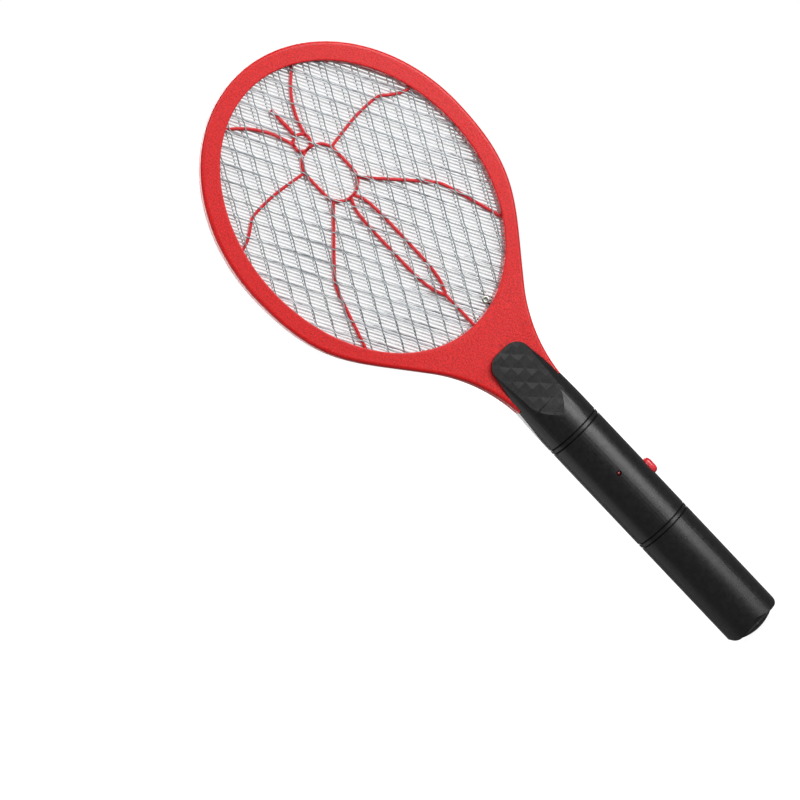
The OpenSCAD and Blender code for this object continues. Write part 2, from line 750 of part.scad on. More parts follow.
module transformer_bobbin() {
    flange_h = 0.6;
    color([0.85, 0.82, 0.70]) translate([coil_x, coil_y, coil_z]) {
        difference() {
            union() {
                translate([0, 0, -window_hz + 0.05]) cylinder(r = bobbin_r, h = 2 * window_hz - 0.1);
                for (z = [-window_hz + 0.05, window_hz - 0.05 - flange_h]) translate([0, 0, z]) {
                    cylinder(r = winding_r + 0.2, h = flange_h);
                    block([-4, 1.5, 0], [4, board_y0 - coil_y, flange_h]);
                }
            }
            translate([0, 0, -window_hz - 1]) cylinder(r = leg_r + run_gap, h = 2 * window_hz + 2);
        }
    }
}

module transformer_winding() {
    h = window_hz - 0.7;
    color([0.72, 0.38, 0.16]) translate([coil_x, coil_y, coil_z - h]) difference() {
        cylinder(r = winding_r, h = 2 * h);
        translate([0, 0, -1]) cylinder(r = bobbin_r + run_gap, h = 2 * h + 2);
    }
}

module storage_capacitor() {
    color([0.62, 0.22, 0.12]) block([-board_hw + 2, board_y0 - 11, board_z0 + 3],
        [-board_hw + 9, board_y0, board_z0 + 19]);
}

module multiplier_capacitors() {
    color([0.55, 0.28, 0.14]) for (x = [-1.8, 5.4])
        block([x, board_y0 - 8, board_z1 - 9], [x + 4, board_y0, board_z1 - 2]);
}

// An axial part lying along Z, with bent legs into the board
module axial(x, z, r, l) {
    y = board_y0 - r - 0.3;
    translate([x, y, z - l / 2]) cylinder(r = r, h = l);
    for (s = [-1, 1]) {
        translate([x, y, s > 0 ? z + l / 2 - 0.1 : z - l / 2 - 1.5]) cylinder(r = pin_r, h = 1.6);
        peg(x, z + s * (l / 2 + 1.5), pin_r, y, board_y0);
    }
}

module rectifier_diodes() {
    color([0.12, 0.12, 0.13])
        for (p = [[6.8, lamp_z], [6.8, lamp_z + 9.5], [10.2, lamp_z + 9.5]]) axial(p[0], p[1], 1.3, 5);
}

module board_resistors() {
    color([0.80, 0.68, 0.45]) for (x = [-1.2, 2]) axial(x, board_z0 + 6.5, 1.1, 5.6);
}

module bleed_resistor() {
    color([0.35, 0.55, 0.75]) axial(10.2, lamp_z - 2, 1.2, 5.5);
}

module transistor() {
    color([0.14, 0.14, 0.15]) {
        block([-1.6, board_y0 - 6, board_z0 + 14], [3.2, board_y0 - 1.5, board_z0 + 17.6]);
        for (x = [-0.5, 0.8, 2.1]) peg(x, board_z0 + 15.8, pin_r, board_y0 - 1.6, board_y0);
    }
}

module indicator_lamp() {
    tip_y = -handle_t / 2 + 0.4;
    color([0.90, 0.20, 0.18]) {
        peg(0, lamp_z, lamp_r, tip_y + lamp_r, -inner_t / 2 + 4);
        intersection() {
            translate([0, tip_y + lamp_r, lamp_z]) sphere(r = lamp_r);
            peg(0, lamp_z, lamp_r + 1, tip_y - 1, tip_y + lamp_r + 0.1);
        }
        peg(0, lamp_z, lamp_r + 0.4, -inner_t / 2 + 3.2, -inner_t / 2 + 4.2);
        for (x = [-1, 1]) peg(x, lamp_z, pin_r, -inner_t / 2 + 4.1, board_y0);
    }
}

// ---------------------------------------------------------------- cells and contacts

module aa_cell() {
    cylinder(r = cell_r, h = cell_len - cap_h);
    translate([0, 0, cell_len - cap_h - 0.1]) cylinder(r = cap_r, h = cap_h + 0.1);
}

module cell_left() {
    color([0.85, 0.62, 0.15])
        translate([-cell_x, 0, bay_top_z - plate_t - nub_h - cell_len]) aa_cell();
}

module cell_right() {
    color([0.85, 0.62, 0.15])
        translate([cell_x, 0, bay_z + plate_t + nub_h + cell_len]) mirror([0, 0, 1]) aa_cell();
}

// A tapered coil spring, wide end down
function coil_path(z0, h, up) = [for (i = [0 : spring_turns * 12])
    let (t = i / (spring_turns * 12))
    let (r = spring_r0 + (spring_r1 - spring_r0) * t)
    let (f = spring_wire_r + (h - 2 * spring_wire_r) * t)
    [r * cos(30 * i), r * sin(30 * i), z0 + (up ? f : -f)]];

module cell_springs() {
    translate([-cell_x, 0, 0])
        wire(coil_path(bay_z + plate_t, spring_len, true), spring_wire_r, [0.75, 0.76, 0.78]);
    translate([cell_x, 0, 0])
        wire(coil_path(bay_top_z - plate_t, spring_len, false), spring_wire_r, [0.75, 0.76, 0.78]);
}

contact_hw = 5.5;

module cell_bridge() {
    color([0.80, 0.81, 0.82]) {
        block([-cell_x - contact_hw, -5, bay_z], [cell_x + contact_hw, 5, bay_z + plate_t]);
        translate([cell_x, 0, bay_z + plate_t - 0.1]) cylinder(r = nub_r, h = nub_h + 0.1);
    }
}

// One contact against the upper cross wall, with its solder tab
module top_contact(x) {
    block([x - contact_hw, -5.6, bay_top_z - plate_t], [x + contact_hw, 5, bay_top_z]);
    block([x - 1, -5.6, bay_top_z - plate_t], [x + 1, -5.1, bay_top_z + wall_t + 3]);
}

module positive_contact() {
    color([0.80, 0.81, 0.82]) {
        top_contact(-cell_x);
        translate([-cell_x, 0, bay_top_z - plate_t - nub_h]) cylinder(r = nub_r, h = nub_h + 0.1);
    }
}

module negative_contact() { color([0.80, 0.81, 0.82]) top_contact(cell_x); }

// ---------------------------------------------------------------- leads

tab_end_z = bay_top_z + wall_t + 3;

module positive_lead() {
    wire([[-cell_x, -5.1 + lead_r, tab_end_z - 2], [-cell_x, -4, tab_end_z + 3],
        [-cell_x, 0, board_z0 - 3], [-cell_x, board_y0 - lead_r, board_z0 + 0.5],
        [-cell_x, board_y0 - lead_r, board_z0 + 2.5]], lead_r, [0.75, 0.08, 0.08]);
}

module negative_lead() {
    wire([[cell_x, -5.1 + lead_r, tab_end_z - 2], [cell_x, -4, tab_end_z + 3],
        [cell_x - 1, 0, board_z0 - 3], [cell_x - 2, board_y0 - lead_r, board_z0 + 0.5],
        [cell_x - 2, board_y0 - lead_r, board_z0 + 2.5]], lead_r, [0.05, 0.05, 0.05]);
}

// Leads from the board up the tenon and round the screw post to the metal layers
board_top_y = board_y0 - lead_r;

module high_voltage_lead() {
    wire([[-5, board_top_y, board_z1 - 2], [-5, board_top_y, board_z1 + 1],
        [-2.4, 0.6, tenon_z0 - 3], [-1.8, 0, tenon_z0 + 3], [-1.8, 0, chamber_z0 - 4],
        [-5.4, 0, chamber_z0 + 4], [-5.6, 0, upper_screw_z + 3],
        [-3.6, 0, upper_screw_z + 12], [-2.1, 0, opening_z0 - seat_w - 7.5]],
        lead_r, [0.80, 0.78, 0.74]);
}

// The two mesh leads lie on either side of the parting plane in the head, and keep inside
// the chamber when the neck is short
function mesh_lead_path(s, x, spot) =
    let (z1 = upper_screw_z + 3)
    let (z2 = opening_z0 - seat_w - 6)
    let (x2 = min(spot[0] - 3.5, chamber_x(z2) - lead_r - 0.3))
    let (xm = min(5.6 + (x2 - 5.6) * (chamber_z1 - z1) / (z2 - z1), chamber_hw - lead_r - 0.34))
    let (x3 = min(spot[0], chamber_x(opening_z0 - 2) - lead_r - 0.5))
    [[x, board_top_y, board_z1 - 1.2], [x, board_top_y, board_z1 + 1],
    [1.8, s * 1.0, tenon_z0 - 1], [1.8, s * 1.2, chamber_z0 - 5],
    [5.4, s * 1.4, chamber_z0 + 4], [5.6, s * 1.8, z1], [xm, s * 1.83, chamber_z1],
    [x2, s * 2.0, z2], [x3, s * 2.2, opening_z0 - 2],
    [spot[0], s * (guard_y - eyelet_lip - lead_r), spot[1] + 1]];

module front_mesh_lead() {
    wire(mesh_lead_path(-1, 4.4, front_eyelet), lead_r, [0.12, 0.12, 0.12]);
}
module back_mesh_lead() {
    wire(mesh_lead_path(1, 1.2, back_eyelet), lead_r, [0.12, 0.12, 0.12]);
}

// ---------------------------------------------------------------- screws

// A pan head screw from the back: its head bears at seat_y, its shank runs towards -Y
module screw(x, z, seat_y, length) {
    difference() {
        union() {
            peg(x, z, head_r, seat_y, seat_y + head_h);
            peg(x, z, screw_r, seat_y - length, seat_y + 0.1);
        }
        for (a = [0, 90]) translate([x, seat_y + head_h, z]) rotate([0, a, 0])
            block([-1.6, -0.7, -0.3], [1.6, 1, 0.3]);
    }
}

module neck_screws() {
    color([0.55, 0.56, 0.58]) for (p = screw_spots())
        screw(p[0], p[1], neck_seat_y, neck_seat_y + neck_screw_tip);
}

module handle_screws() {
    color([0.55, 0.56, 0.58]) for (z = [end_screw_z, handle_screw_z])
        screw(0, z, handle_seat_y, handle_screw_len);
}

front_frame();
back_frame();
front_mesh();
back_mesh();
middle_grid();
front_rib_guard();
back_rib_guard();
mesh_eyelets();
handle_front_shell();
handle_back_shell();
battery_cover();
push_button();
switch_body();
switch_plunger();
circuit_board();
transformer_core();
transformer_bobbin();
transformer_winding();
storage_capacitor();
multiplier_capacitors();
rectifier_diodes();
transistor();
board_resistors();
bleed_resistor();
indicator_lamp();
cell_left();
cell_right();
cell_springs();
cell_bridge();
positive_contact();
negative_contact();
positive_lead();
negative_lead();
high_voltage_lead();
front_mesh_lead();
back_mesh_lead();
neck_screws();
handle_screws();
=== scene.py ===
"""Finishes and visible pieces of the electric fly swatter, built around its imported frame.

Everything is in metres, with the handle's end at the bottom and the front towards -Y.
"""
import math

import bpy
import bmesh
import numpy as np
from mathutils import Matrix, Vector


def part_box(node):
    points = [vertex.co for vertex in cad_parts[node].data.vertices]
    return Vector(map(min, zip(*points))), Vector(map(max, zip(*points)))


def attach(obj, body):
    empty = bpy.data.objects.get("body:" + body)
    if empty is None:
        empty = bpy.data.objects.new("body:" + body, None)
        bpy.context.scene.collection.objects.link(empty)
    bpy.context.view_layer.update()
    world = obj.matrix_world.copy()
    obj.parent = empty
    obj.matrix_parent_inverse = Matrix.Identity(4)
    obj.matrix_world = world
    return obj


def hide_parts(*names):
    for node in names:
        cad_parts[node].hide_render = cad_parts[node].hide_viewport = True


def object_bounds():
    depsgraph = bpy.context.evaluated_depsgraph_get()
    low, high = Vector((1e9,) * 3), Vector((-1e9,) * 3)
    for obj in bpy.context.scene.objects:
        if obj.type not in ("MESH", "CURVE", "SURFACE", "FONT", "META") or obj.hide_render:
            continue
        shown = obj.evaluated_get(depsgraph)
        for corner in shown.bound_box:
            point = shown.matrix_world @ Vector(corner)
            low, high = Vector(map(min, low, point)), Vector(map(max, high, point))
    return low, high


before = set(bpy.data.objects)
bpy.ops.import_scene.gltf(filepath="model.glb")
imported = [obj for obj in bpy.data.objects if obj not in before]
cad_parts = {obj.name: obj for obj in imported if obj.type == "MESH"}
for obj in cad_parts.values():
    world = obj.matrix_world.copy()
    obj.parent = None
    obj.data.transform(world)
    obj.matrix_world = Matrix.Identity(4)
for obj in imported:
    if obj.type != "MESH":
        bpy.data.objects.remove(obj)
cad_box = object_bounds()

MM = 0.001

# ------------------------------------------------------------------ sizes, from the frame where it has them

mesh_low, mesh_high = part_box("front_mesh")
head_low, head_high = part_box("front_frame")
shell_low, shell_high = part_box("handle_front_shell")
EDGE = 4.7 * MM                # how far the metal layers run under the frame's lip
OPEN_A = mesh_high.x - EDGE    # half width of the opening
OPEN_B = (mesh_high.z - mesh_low.z) / 2 - EDGE    # half height of the opening
CENTRE_Z = (mesh_high.z + mesh_low.z) / 2
OPEN_LOW_Z = CENTRE_Z - OPEN_B
TOP_Z = head_high.z
HALF_W = head_high.x
WIDE_Z = CENTRE_Z + 4.75 * MM  # height at which the head is widest
SEAT_W = 5 * MM                # how far the pocket for the metal layers reaches past the opening

TONGUE_LEN = 35.2 * MM
SHOULDER_Z = shell_high.z - TONGUE_LEN
SWELL_Z = SHOULDER_Z + TONGUE_LEN + 2 * MM        # the neck keeps its thickness up to here
HEAD_HALF_T = 6.5 * MM
NECK_HALF_T = 7.5 * MM
NECK_HALF_W = 17.1 * MM
NECK_CURVE_Z = SHOULDER_Z - 8.5 * MM
NECK_R = 100 * MM              # radius of the hollow curve from the neck into the head
FLARE = math.radians(38.3)     # angle at which the neck runs out into the head
FLARE_Z = OPEN_LOW_Z + 5.4 * MM
TENON_HALF_W, TENON_HALF_T = 15 * MM, 5 * MM

RING_GAP = 3 * MM              # the two grooves of a pair lie this far apart
LOW_RINGS_Z, HIGH_RINGS_Z = 86.6 * MM, SHOULDER_Z - 32 * MM

# The metal layers and rib guards, measured from the parting plane
POCKET_Y = 4.2 * MM
MESH_MID_Y = 3.8 * MM
GUARD_Y0, GUARD_Y1 = 0.4 * MM, 3.4 * MM
GRID_HALF_T = 0.38 * MM
PARTING = 0.02 * MM            # each frame half stops this far short of the parting plane
CELL_W, CELL_H = 10.6 * MM, 19.8 * MM
BACK_TURN = math.radians(1)    # the back mesh is turned by this much
FRONT_EYELET = np.array([15.4 * MM, OPEN_LOW_Z + 6 * MM])
BACK_EYELET = FRONT_EYELET + np.array([2.2, 2.4]) * MM
RIB_W = 1.8 * MM

CELL_LEN = 50.5                # length of an AA cell with its cap, in millimetres
CELL_R = 7.15                  # its radius, in millimetres

# ------------------------------------------------------------------ making meshes


def grid_faces(nu, nv, start=0, wrap_u=False, wrap_v=False):
    """Four-sided faces of a grid in which point (u, v) has the number start + u * nv + v."""
    u = np.arange(nu if wrap_u else nu - 1)[:, None]
    v = np.arange(nv if wrap_v else nv - 1)[None, :]
    u1, v1 = (u + 1) % nu, (v + 1) % nv
    return (start + np.stack([u * nv + v, u1 * nv + v, u1 * nv + v1, u * nv + v1], -1)).reshape(-1, 4)


class Stock:
    """Gathers grids of points into the mesh of one piece."""

    def __init__(self):
        self.points, self.quads, self.tris, self.shades, self.count = [], [], [], [], 0

    def add(self, points, wrap_u=False, wrap_v=True, shade=0.5):
        """A grid (u, v, xyz). Where u is open and v is closed, each end gets a fan about its middle."""
        nu, nv = points.shape[:2]
        self.points.append(points.reshape(-1, 3))
        self.quads.append(grid_faces(nu, nv, self.count, wrap_u, wrap_v))
        total = nu * nv
        if wrap_v and not wrap_u:
            ends = np.stack([points[0].mean(0), points[-1].mean(0)])
            self.points.append(ends)
            v = np.arange(nv)
            v1 = (v + 1) % nv
            low, high = self.count, self.count + (nu - 1) * nv
            self.tris.append(np.stack([low + v1, low + v, np.full(nv, self.count + total)], -1))
            self.tris.append(np.stack([high + v, high + v1, np.full(nv, self.count + total + 1)], -1))
            total += 2
        self.shades.append(np.full(total, shade))
        self.count += total

    def mesh(self, name, smooth=35, merge=1e-7):
        """The mesh, its doubles merged and its faces turned outwards, smooth below the given angle."""
        points = np.concatenate(self.points)
        quads = np.concatenate(self.quads) if self.quads else np.zeros((0, 4), int)
        tris = np.concatenate(self.tris) if self.tris else np.zeros((0, 3), int)
        mesh = bpy.data.meshes.new(name)
        mesh.vertices.add(len(points))
        mesh.vertices.foreach_set("co", points.astype(np.float32).ravel())
        loops = np.concatenate([quads.ravel(), tris.ravel()]).astype(np.int32)
        sizes = np.concatenate([np.full(len(quads), 4), np.full(len(tris), 3)])
        mesh.loops.add(len(loops))
        mesh.loops.foreach_set("vertex_index", loops)
        mesh.polygons.add(len(sizes))
        starts = np.concatenate([[0], np.cumsum(sizes)[:-1]]).astype(np.int32)
        mesh.polygons.foreach_set("loop_start", starts)
        mesh.update(calc_edges=True)
        shade = mesh.attributes.new("shade", "FLOAT", "POINT")
        shade.data.foreach_set("value", np.concatenate(self.shades).astype(np.float32))
        tidy(mesh, smooth, merge)
        return mesh


def tidy(mesh, smooth, merge, dissolve=None):
    """Merges doubles, turns faces outwards and shades smooth below an angle in degrees."""
    work = bmesh.new()
    work.from_mesh(mesh)
    bmesh.ops.remove_doubles(work, verts=work.verts, dist=merge)
    bmesh.ops.dissolve_degenerate(work, edges=work.edges, dist=merge)
    if dissolve is not None:
        bmesh.ops.dissolve_limit(work, angle_limit=math.radians(dissolve), verts=work.verts,
                                 edges=work.edges, use_dissolve_boundaries=False)
    bmesh.ops.recalc_face_normals(work, faces=work.faces)
    work.to_mesh(mesh)
    work.free()
    mesh.polygons.foreach_set("use_smooth", np.ones(len(mesh.polygons), bool))
    mesh.set_sharp_from_angle(angle=math.radians(smooth))
    mesh.update()


def show(mesh, body, slot, finish, *nodes):
    """Puts a mesh in the scene as a piece that rides on a body and stands for CAD nodes."""
    piece = bpy.data.objects.new(mesh.name, mesh)
    bpy.context.scene.collection.objects.link(piece)
    mesh.materials.clear()
    mesh.materials.append(finish)
    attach(piece, body)
    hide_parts(*nodes)
    return piece


def softened(node, body, slot, finish, bevel=0.25 * MM, segments=2, smooth=30):
    """A merged copy of a CAD node with its sharp edges rounded."""
    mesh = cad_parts[node].data.copy()
    mesh.name = node + "_finished"
    tidy(mesh, smooth, merge=1e-6, dissolve=0.3)
    piece = show(mesh, body, slot, finish, node)
    if bevel:
        rounding = piece.modifiers.new("rounding", "BEVEL")
        rounding.width = bevel
        rounding.segments = segments
        rounding.limit_method = "ANGLE"
        rounding.angle_limit = math.radians(30)
        rounding.use_clamp_overlap = True
        rounding.harden_normals = True
    return piece


def swept(path, side, up, section):
    """Carries a flat section (m, 2) along a path: point + s * side + d * up at each place."""
    return path[:, None] + section[None, :, :1] * side[:, None] + section[None, :, 1:] * up[:, None]


def headings(path, closed=False):
    """Unit directions along a path, by central differences."""
    if closed:
        d = np.roll(path, -1, 0) - np.roll(path, 1, 0)
    else:
        d = np.gradient(path, axis=0)
    return d / np.linalg.norm(d, axis=1)[:, None]


def upright(path, y=0.0):
    """Points (x, z) placed at depth y."""
    return np.stack([path[:, 0], np.broadcast_to(y, len(path)), path[:, 1]], -1)


def flat_sweep(path, section, closed=False):
    """Carries a section along a path in the head's plane: s across the path, d towards the front."""
    d = headings(path, closed)
    side = upright(np.stack([d[:, 1], -d[:, 0]], -1))
    front = np.broadcast_to(np.array([0.0, -1.0, 0.0]), side.shape)
    return swept(upright(path), side, front, section)


def rounded_box(half_w, low, high, r_low, r_high, n=3):
    """Section between depths low and high, 2 * half_w wide, each corner a quarter circle."""
    turn = np.linspace(0, math.pi / 2, n)
    corners = [(half_w - r_high, high - r_high, r_high, 0), (-half_w + r_high, high - r_high, r_high, 1),
               (-half_w + r_low, low + r_low, r_low, 2), (half_w - r_low, low + r_low, r_low, 3)]
    return np.concatenate([np.stack([x + r * np.cos(turn + k * math.pi / 2),
                                     d + r * np.sin(turn + k * math.pi / 2)], -1)
                           for x, d, r, k in corners])


def ellipse(grow, n, start=0.0, stop=2 * math.pi):
    """Points (x, z) on the opening's ellipse, grown by a margin."""
    t = np.linspace(start, stop, n, endpoint=stop - start < 6.28)
    return np.stack([(OPEN_A + grow) * np.cos(t), CENTRE_Z + (OPEN_B + grow) * np.sin(t)], -1)


def bezier(points, n):
    """A cubic curve through n + 1 points."""
    t = np.linspace(0, 1, n + 1)[:, None]
    p = np.array(points, float)
    return (1 - t) ** 3 * p[0] + 3 * t * (1 - t) ** 2 * p[1] + 3 * t * t * (1 - t) * p[2] + t ** 3 * p[3]


def eased(path, rounds=2):
    """Cuts the corners of an open path a fifth of the way along each side, ends kept."""
    path = np.array(path, float)
    for _ in range(rounds):
        a, b = path[:-1], path[1:]
        cut = np.stack([0.8 * a + 0.2 * b, 0.2 * a + 0.8 * b], 1).reshape(-1, 2)
        path = np.concatenate([path[:1], cut[1:-1], path[-1:]])
    return path


def revolved(profile, n, centre, axis="z"):
    """Turns a profile (radius, height) about an axis through the centre."""
    t = np.linspace(0, 2 * math.pi, n, endpoint=False)
    r, h = profile[:, 0][:, None], profile[:, 1][:, None]
    a, b, c = r * np.cos(t), r * np.sin(t), np.broadcast_to(h, (len(profile), n))
    order = {"z": (a, b, c), "y": (a, c, b), "x": (c, a, b)}[axis]
    return np.stack(order, -1) + np.array(centre, float)


def tube(path, r, n=10):
    """A round tube along a path in space, its section kept square to the path."""
    d = headings(path)
    away = np.where(np.abs(d[:, :1]) < 0.8, np.array([[1.0, 0, 0]]), np.array([[0, 1.0, 0]]))
    u = np.cross(d, away)
    u /= np.linalg.norm(u, axis=1)[:, None]
    v = np.cross(d, u)
    t = np.linspace(0, 2 * math.pi, n, endpoint=False)
    return path[:, None] + r * (np.cos(t)[None, :, None] * u[:, None] + np.sin(t)[None, :, None] * v[:, None])


# ------------------------------------------------------------------ finishes


def tone(r, g, b):
    """A colour given as it looks, turned into light."""
    return tuple(c / 12.92 if c <= 0.04045 else ((c + 0.055) / 1.055) ** 2.4 for c in (r, g, b)) + (1.0,)


class Finish:
    """A material with two tones in soft patches, roughness that follows them, and a fine relief."""

    def __init__(self, name, dark, light, rough, metal=0.0, patch=4 * MM, grain=0.4 * MM,
                 relief=0.01 * MM, detail=3.0, spread=(0.35, 0.65), coat=0.0):
        self.material = bpy.data.materials.new(name)
        self.material.use_nodes = True
        self.tree = self.material.node_tree
        self.shader = self.tree.nodes["Principled BSDF"]
        self.place = self.node("ShaderNodeTexCoord").outputs["Object"]
        self.patches = self.noise(patch, detail)
        self.ramp = self.node("ShaderNodeValToRGB")
        self.link(self.patches, self.ramp.inputs["Fac"])
        stops = self.ramp.color_ramp.elements
        stops[0].position, stops[0].color = spread[0], dark
        stops[1].position, stops[1].color = spread[1], light
        self.colour = self.ramp.outputs["Color"]
        self.link(self.colour, self.shader.inputs["Base Color"])
        self.rough = self.ranged(self.patches, 0.3, 0.7, *rough)
        self.link(self.rough, self.shader.inputs["Roughness"])
        self.height = self.noise(grain, 4.0)
        self.bump = self.node("ShaderNodeBump")
        self.bump.inputs["Distance"].default_value = relief
        self.bump.inputs["Strength"].default_value = 1.0
        self.link(self.height, self.bump.inputs["Height"])
        self.link(self.bump.outputs["Normal"], self.shader.inputs["Normal"])
        self.shader.inputs["Metallic"].default_value = metal
        self.shader.inputs["IOR"].default_value = 1.5
        if coat:
            self.shader.inputs["Coat Weight"].default_value = coat
            self.shader.inputs["Coat Roughness"].default_value = 0.1

    def node(self, kind, **settings):
        """A new node with its settings."""
        made = self.tree.nodes.new(kind)
        for key, value in settings.items():
            setattr(made, key, value)
        return made

    def link(self, out, into):
        """Joins an output to an input."""
        self.tree.links.new(out, into)

    def noise(self, size, detail=3.0, stretch=None):
        """Noise whose features are about one size in metres."""
        texture = self.node("ShaderNodeTexNoise")
        texture.inputs["Scale"].default_value = 1 / size
        texture.inputs["Detail"].default_value = detail
        texture.inputs["Roughness"].default_value = 0.55
        source = self.place
        if stretch:
            mapping = self.node("ShaderNodeMapping")
            mapping.inputs["Scale"].default_value = stretch
            self.link(source, mapping.inputs["Vector"])
            source = mapping.outputs["Vector"]
        self.link(source, texture.inputs["Vector"])
        return texture.outputs["Fac"]

    def ranged(self, value, low, high, out_low, out_high):
        """Turns values from low to high into values from out_low to out_high, held at both ends."""
        turn = self.node("ShaderNodeMapRange")
        for key, number in zip(("From Min", "From Max", "To Min", "To Max"), (low, high, out_low, out_high)):
            turn.inputs[key].default_value = number
        self.link(value, turn.inputs["Value"])
        return turn.outputs["Result"]

    def maths(self, operation, a, b=None):
        """One step of arithmetic on numbers or sockets."""
        step = self.node("ShaderNodeMath", operation=operation)
        for socket, value in zip(step.inputs, (a, b)):
            if isinstance(value, (int, float)):
                socket.default_value = value
            elif value is not None:
                self.link(value, socket)
        return step.outputs[0]

    def tinted(self, factor, colour, strength=1.0):
        """Lays a colour over what is there, by a factor."""
        mix = self.node("ShaderNodeMix", data_type="RGBA")
        self.link(self.maths("MULTIPLY", factor, strength), mix.inputs["Factor"])
        self.link(self.colour, mix.inputs["A"])
        mix.inputs["B"].default_value = colour
        self.colour = mix.outputs["Result"]
        self.link(self.colour, self.shader.inputs["Base Color"])

    def raised(self, height, distance):
        """Lays a second relief under the fine one."""
        under = self.node("ShaderNodeBump")
        under.inputs["Distance"].default_value = distance
        under.inputs["Strength"].default_value = 1.0
        self.link(height, under.inputs["Height"])
        self.link(under.outputs["Normal"], self.bump.inputs["Normal"])


def red_plastic(name, dark, light):
    """Grained red plastic with darker mottling."""
    made = Finish(name, dark, light, (0.30, 0.42), patch=0.8 * MM, grain=0.6 * MM, relief=0.10 * MM,
                  detail=5.0, spread=(0.36, 0.56))
    made.raised(made.noise(1.3 * MM, 2.0), 0.10 * MM)
    return made.material


def black_plastic(name):
    """Black plastic with a low relief of chequered squares, each second one split on its diagonal.

    The relief is plain on the tongues and fades towards the grip and the sides. Along the ring grooves
    the specular level drops almost to nothing: painted shade in the groove floors.
    """
    made = Finish(name, tone(0.055, 0.055, 0.06), tone(0.085, 0.085, 0.09), (0.26, 0.33), patch=3 * MM,
                  grain=0.32 * MM, relief=0.02 * MM)
    skin = made.node("ShaderNodeUVMap", uv_map="skin").outputs["UV"]
    parts = made.node("ShaderNodeSeparateXYZ")
    made.link(skin, parts.inputs["Vector"])
    square = 6.15 * MM
    u = made.maths("MULTIPLY", parts.outputs["X"], 1 / square)
    v = made.maths("MULTIPLY", parts.outputs["Y"], 1 / square)
    u = made.maths("ADD", u, 0.48)
    fu, fv = made.maths("FRACT", u), made.maths("FRACT", v)
    cell = made.maths("ADD", made.maths("FLOOR", u), made.maths("FLOOR", v))
    odd = made.maths("PINGPONG", cell, 1.0)
    strength = made.ranged(parts.outputs["Y"], SHOULDER_Z - 22 * MM, SHOULDER_Z + 6 * MM, 0.1, 1.0)
    sides = made.ranged(made.maths("ABSOLUTE", parts.outputs["X"]), 5 * MM, 13 * MM, 1.0, 0.15)
    strength = made.maths("MULTIPLY", strength, sides)
    across = made.maths("ADD", fu, fv)
    crease = made.maths("ABSOLUTE", made.maths("SUBTRACT", across, 1.0))
    made.raised(made.maths("MULTIPLY", made.maths("MULTIPLY", odd, crease), strength), 0.14 * MM)
    # The lower-left half of each second square is tinted lighter: a painted highlight on the facet that faces
    # the light, laid over the real relief.
    lower = made.ranged(across, 0.94, 1.06, 1.0, 0.3)
    shade = made.maths("MULTIPLY", made.maths("MULTIPLY", odd, lower), strength)
    made.tinted(shade, tone(0.20, 0.20, 0.205), 0.5)
    # Specular level cut along each ring groove: painted shade in the groove floors.
    gloss = 0.5
    for rings_z in (LOW_RINGS_Z, HIGH_RINGS_Z):
        pair = made.maths("ABSOLUTE", made.maths("SUBTRACT", parts.outputs["Y"], rings_z))
        apart = made.maths("ABSOLUTE", made.maths("SUBTRACT", pair, RING_GAP / 2))
        gloss = made.maths("MULTIPLY", made.ranged(apart, 0.35 * MM, 0.6 * MM, 0.08, 1.0), gloss)
    made.link(gloss, made.shader.inputs["Specular IOR Level"])
    return made.material


def metal(name, dark, light, rough, patch=3 * MM, streak=None, matt=0.0):
    """Rolled or plated metal, its tone shifted a little from strand to strand, in part matt."""
    made = Finish(name, dark, light, rough, metal=1.0 - matt, patch=patch, grain=0.25 * MM, relief=0.004 * MM)
    if streak:
        made.raised(made.noise(0.3 * MM, 2.0, stretch=streak), 0.006 * MM)
    shade = made.node("ShaderNodeAttribute", attribute_name="shade").outputs["Fac"]
    made.tinted(made.ranged(shade, 0.0, 1.0, 0.0, 0.6), dark)
    return made.material


RED = red_plastic("red_moulding", tone(0.70, 0.04, 0.05), tone(0.89, 0.08, 0.09))
RED_RIBS = red_plastic("red_ribs", tone(0.68, 0.05, 0.09), tone(0.86, 0.10, 0.15))
BLACK = black_plastic("black_shell")
STRAND = metal("mesh_strand", tone(0.50, 0.52, 0.53), tone(0.72, 0.74, 0.75), (0.32, 0.48), matt=0.35)
STRIP = metal("grid_strip", tone(0.86, 0.87, 0.88), tone(0.93, 0.94, 0.95), (0.40, 0.52), matt=0.85)
EYELET = metal("eyelet_plate", tone(0.70, 0.70, 0.66), tone(0.85, 0.85, 0.80), (0.22, 0.35))
SPRING = metal("spring_plate", tone(0.70, 0.71, 0.72), tone(0.85, 0.86, 0.87), (0.2, 0.32))
CONTACT = metal("contact_plate", tone(0.72, 0.73, 0.74), tone(0.88, 0.89, 0.90), (0.22, 0.36),
                streak=(1, 0.1, 1))
SCREW = metal("screw_steel", tone(0.40, 0.41, 0.43), tone(0.60, 0.61, 0.63), (0.28, 0.45))
BUTTON = Finish("button_red", tone(0.80, 0.13, 0.17), tone(0.90, 0.20, 0.24), (0.16, 0.24), patch=2.5 * MM,
                grain=0.3 * MM, relief=0.006 * MM, coat=0.3).material
LAMP = Finish("lamp_red", tone(0.36, 0.05, 0.07), tone(0.52, 0.10, 0.12), (0.08, 0.14), patch=0.9 * MM,
              grain=0.3 * MM, relief=0.003 * MM, coat=0.6).material
SWITCH = Finish("switch_black", tone(0.10, 0.10, 0.11), tone(0.16, 0.16, 0.17), (0.4, 0.55), patch=1.2 * MM,
                grain=0.2 * MM).material
PLUNGER = Finish("plunger_cream", tone(0.82, 0.79, 0.68), tone(0.93, 0.91, 0.82), (0.3, 0.42), patch=1 * MM,
                 grain=0.2 * MM).material
BOARD = Finish("board_laminate", tone(0.55, 0.42, 0.20), tone(0.70, 0.56, 0.30), (0.42, 0.55), patch=0.8 * MM,
               grain=0.15 * MM, relief=0.01 * MM).material
FERRITE = Finish("ferrite_grey", tone(0.16, 0.16, 0.17), tone(0.26, 0.26, 0.28), (0.5, 0.7), patch=0.7 * MM,
                 grain=0.12 * MM, relief=0.02 * MM).material
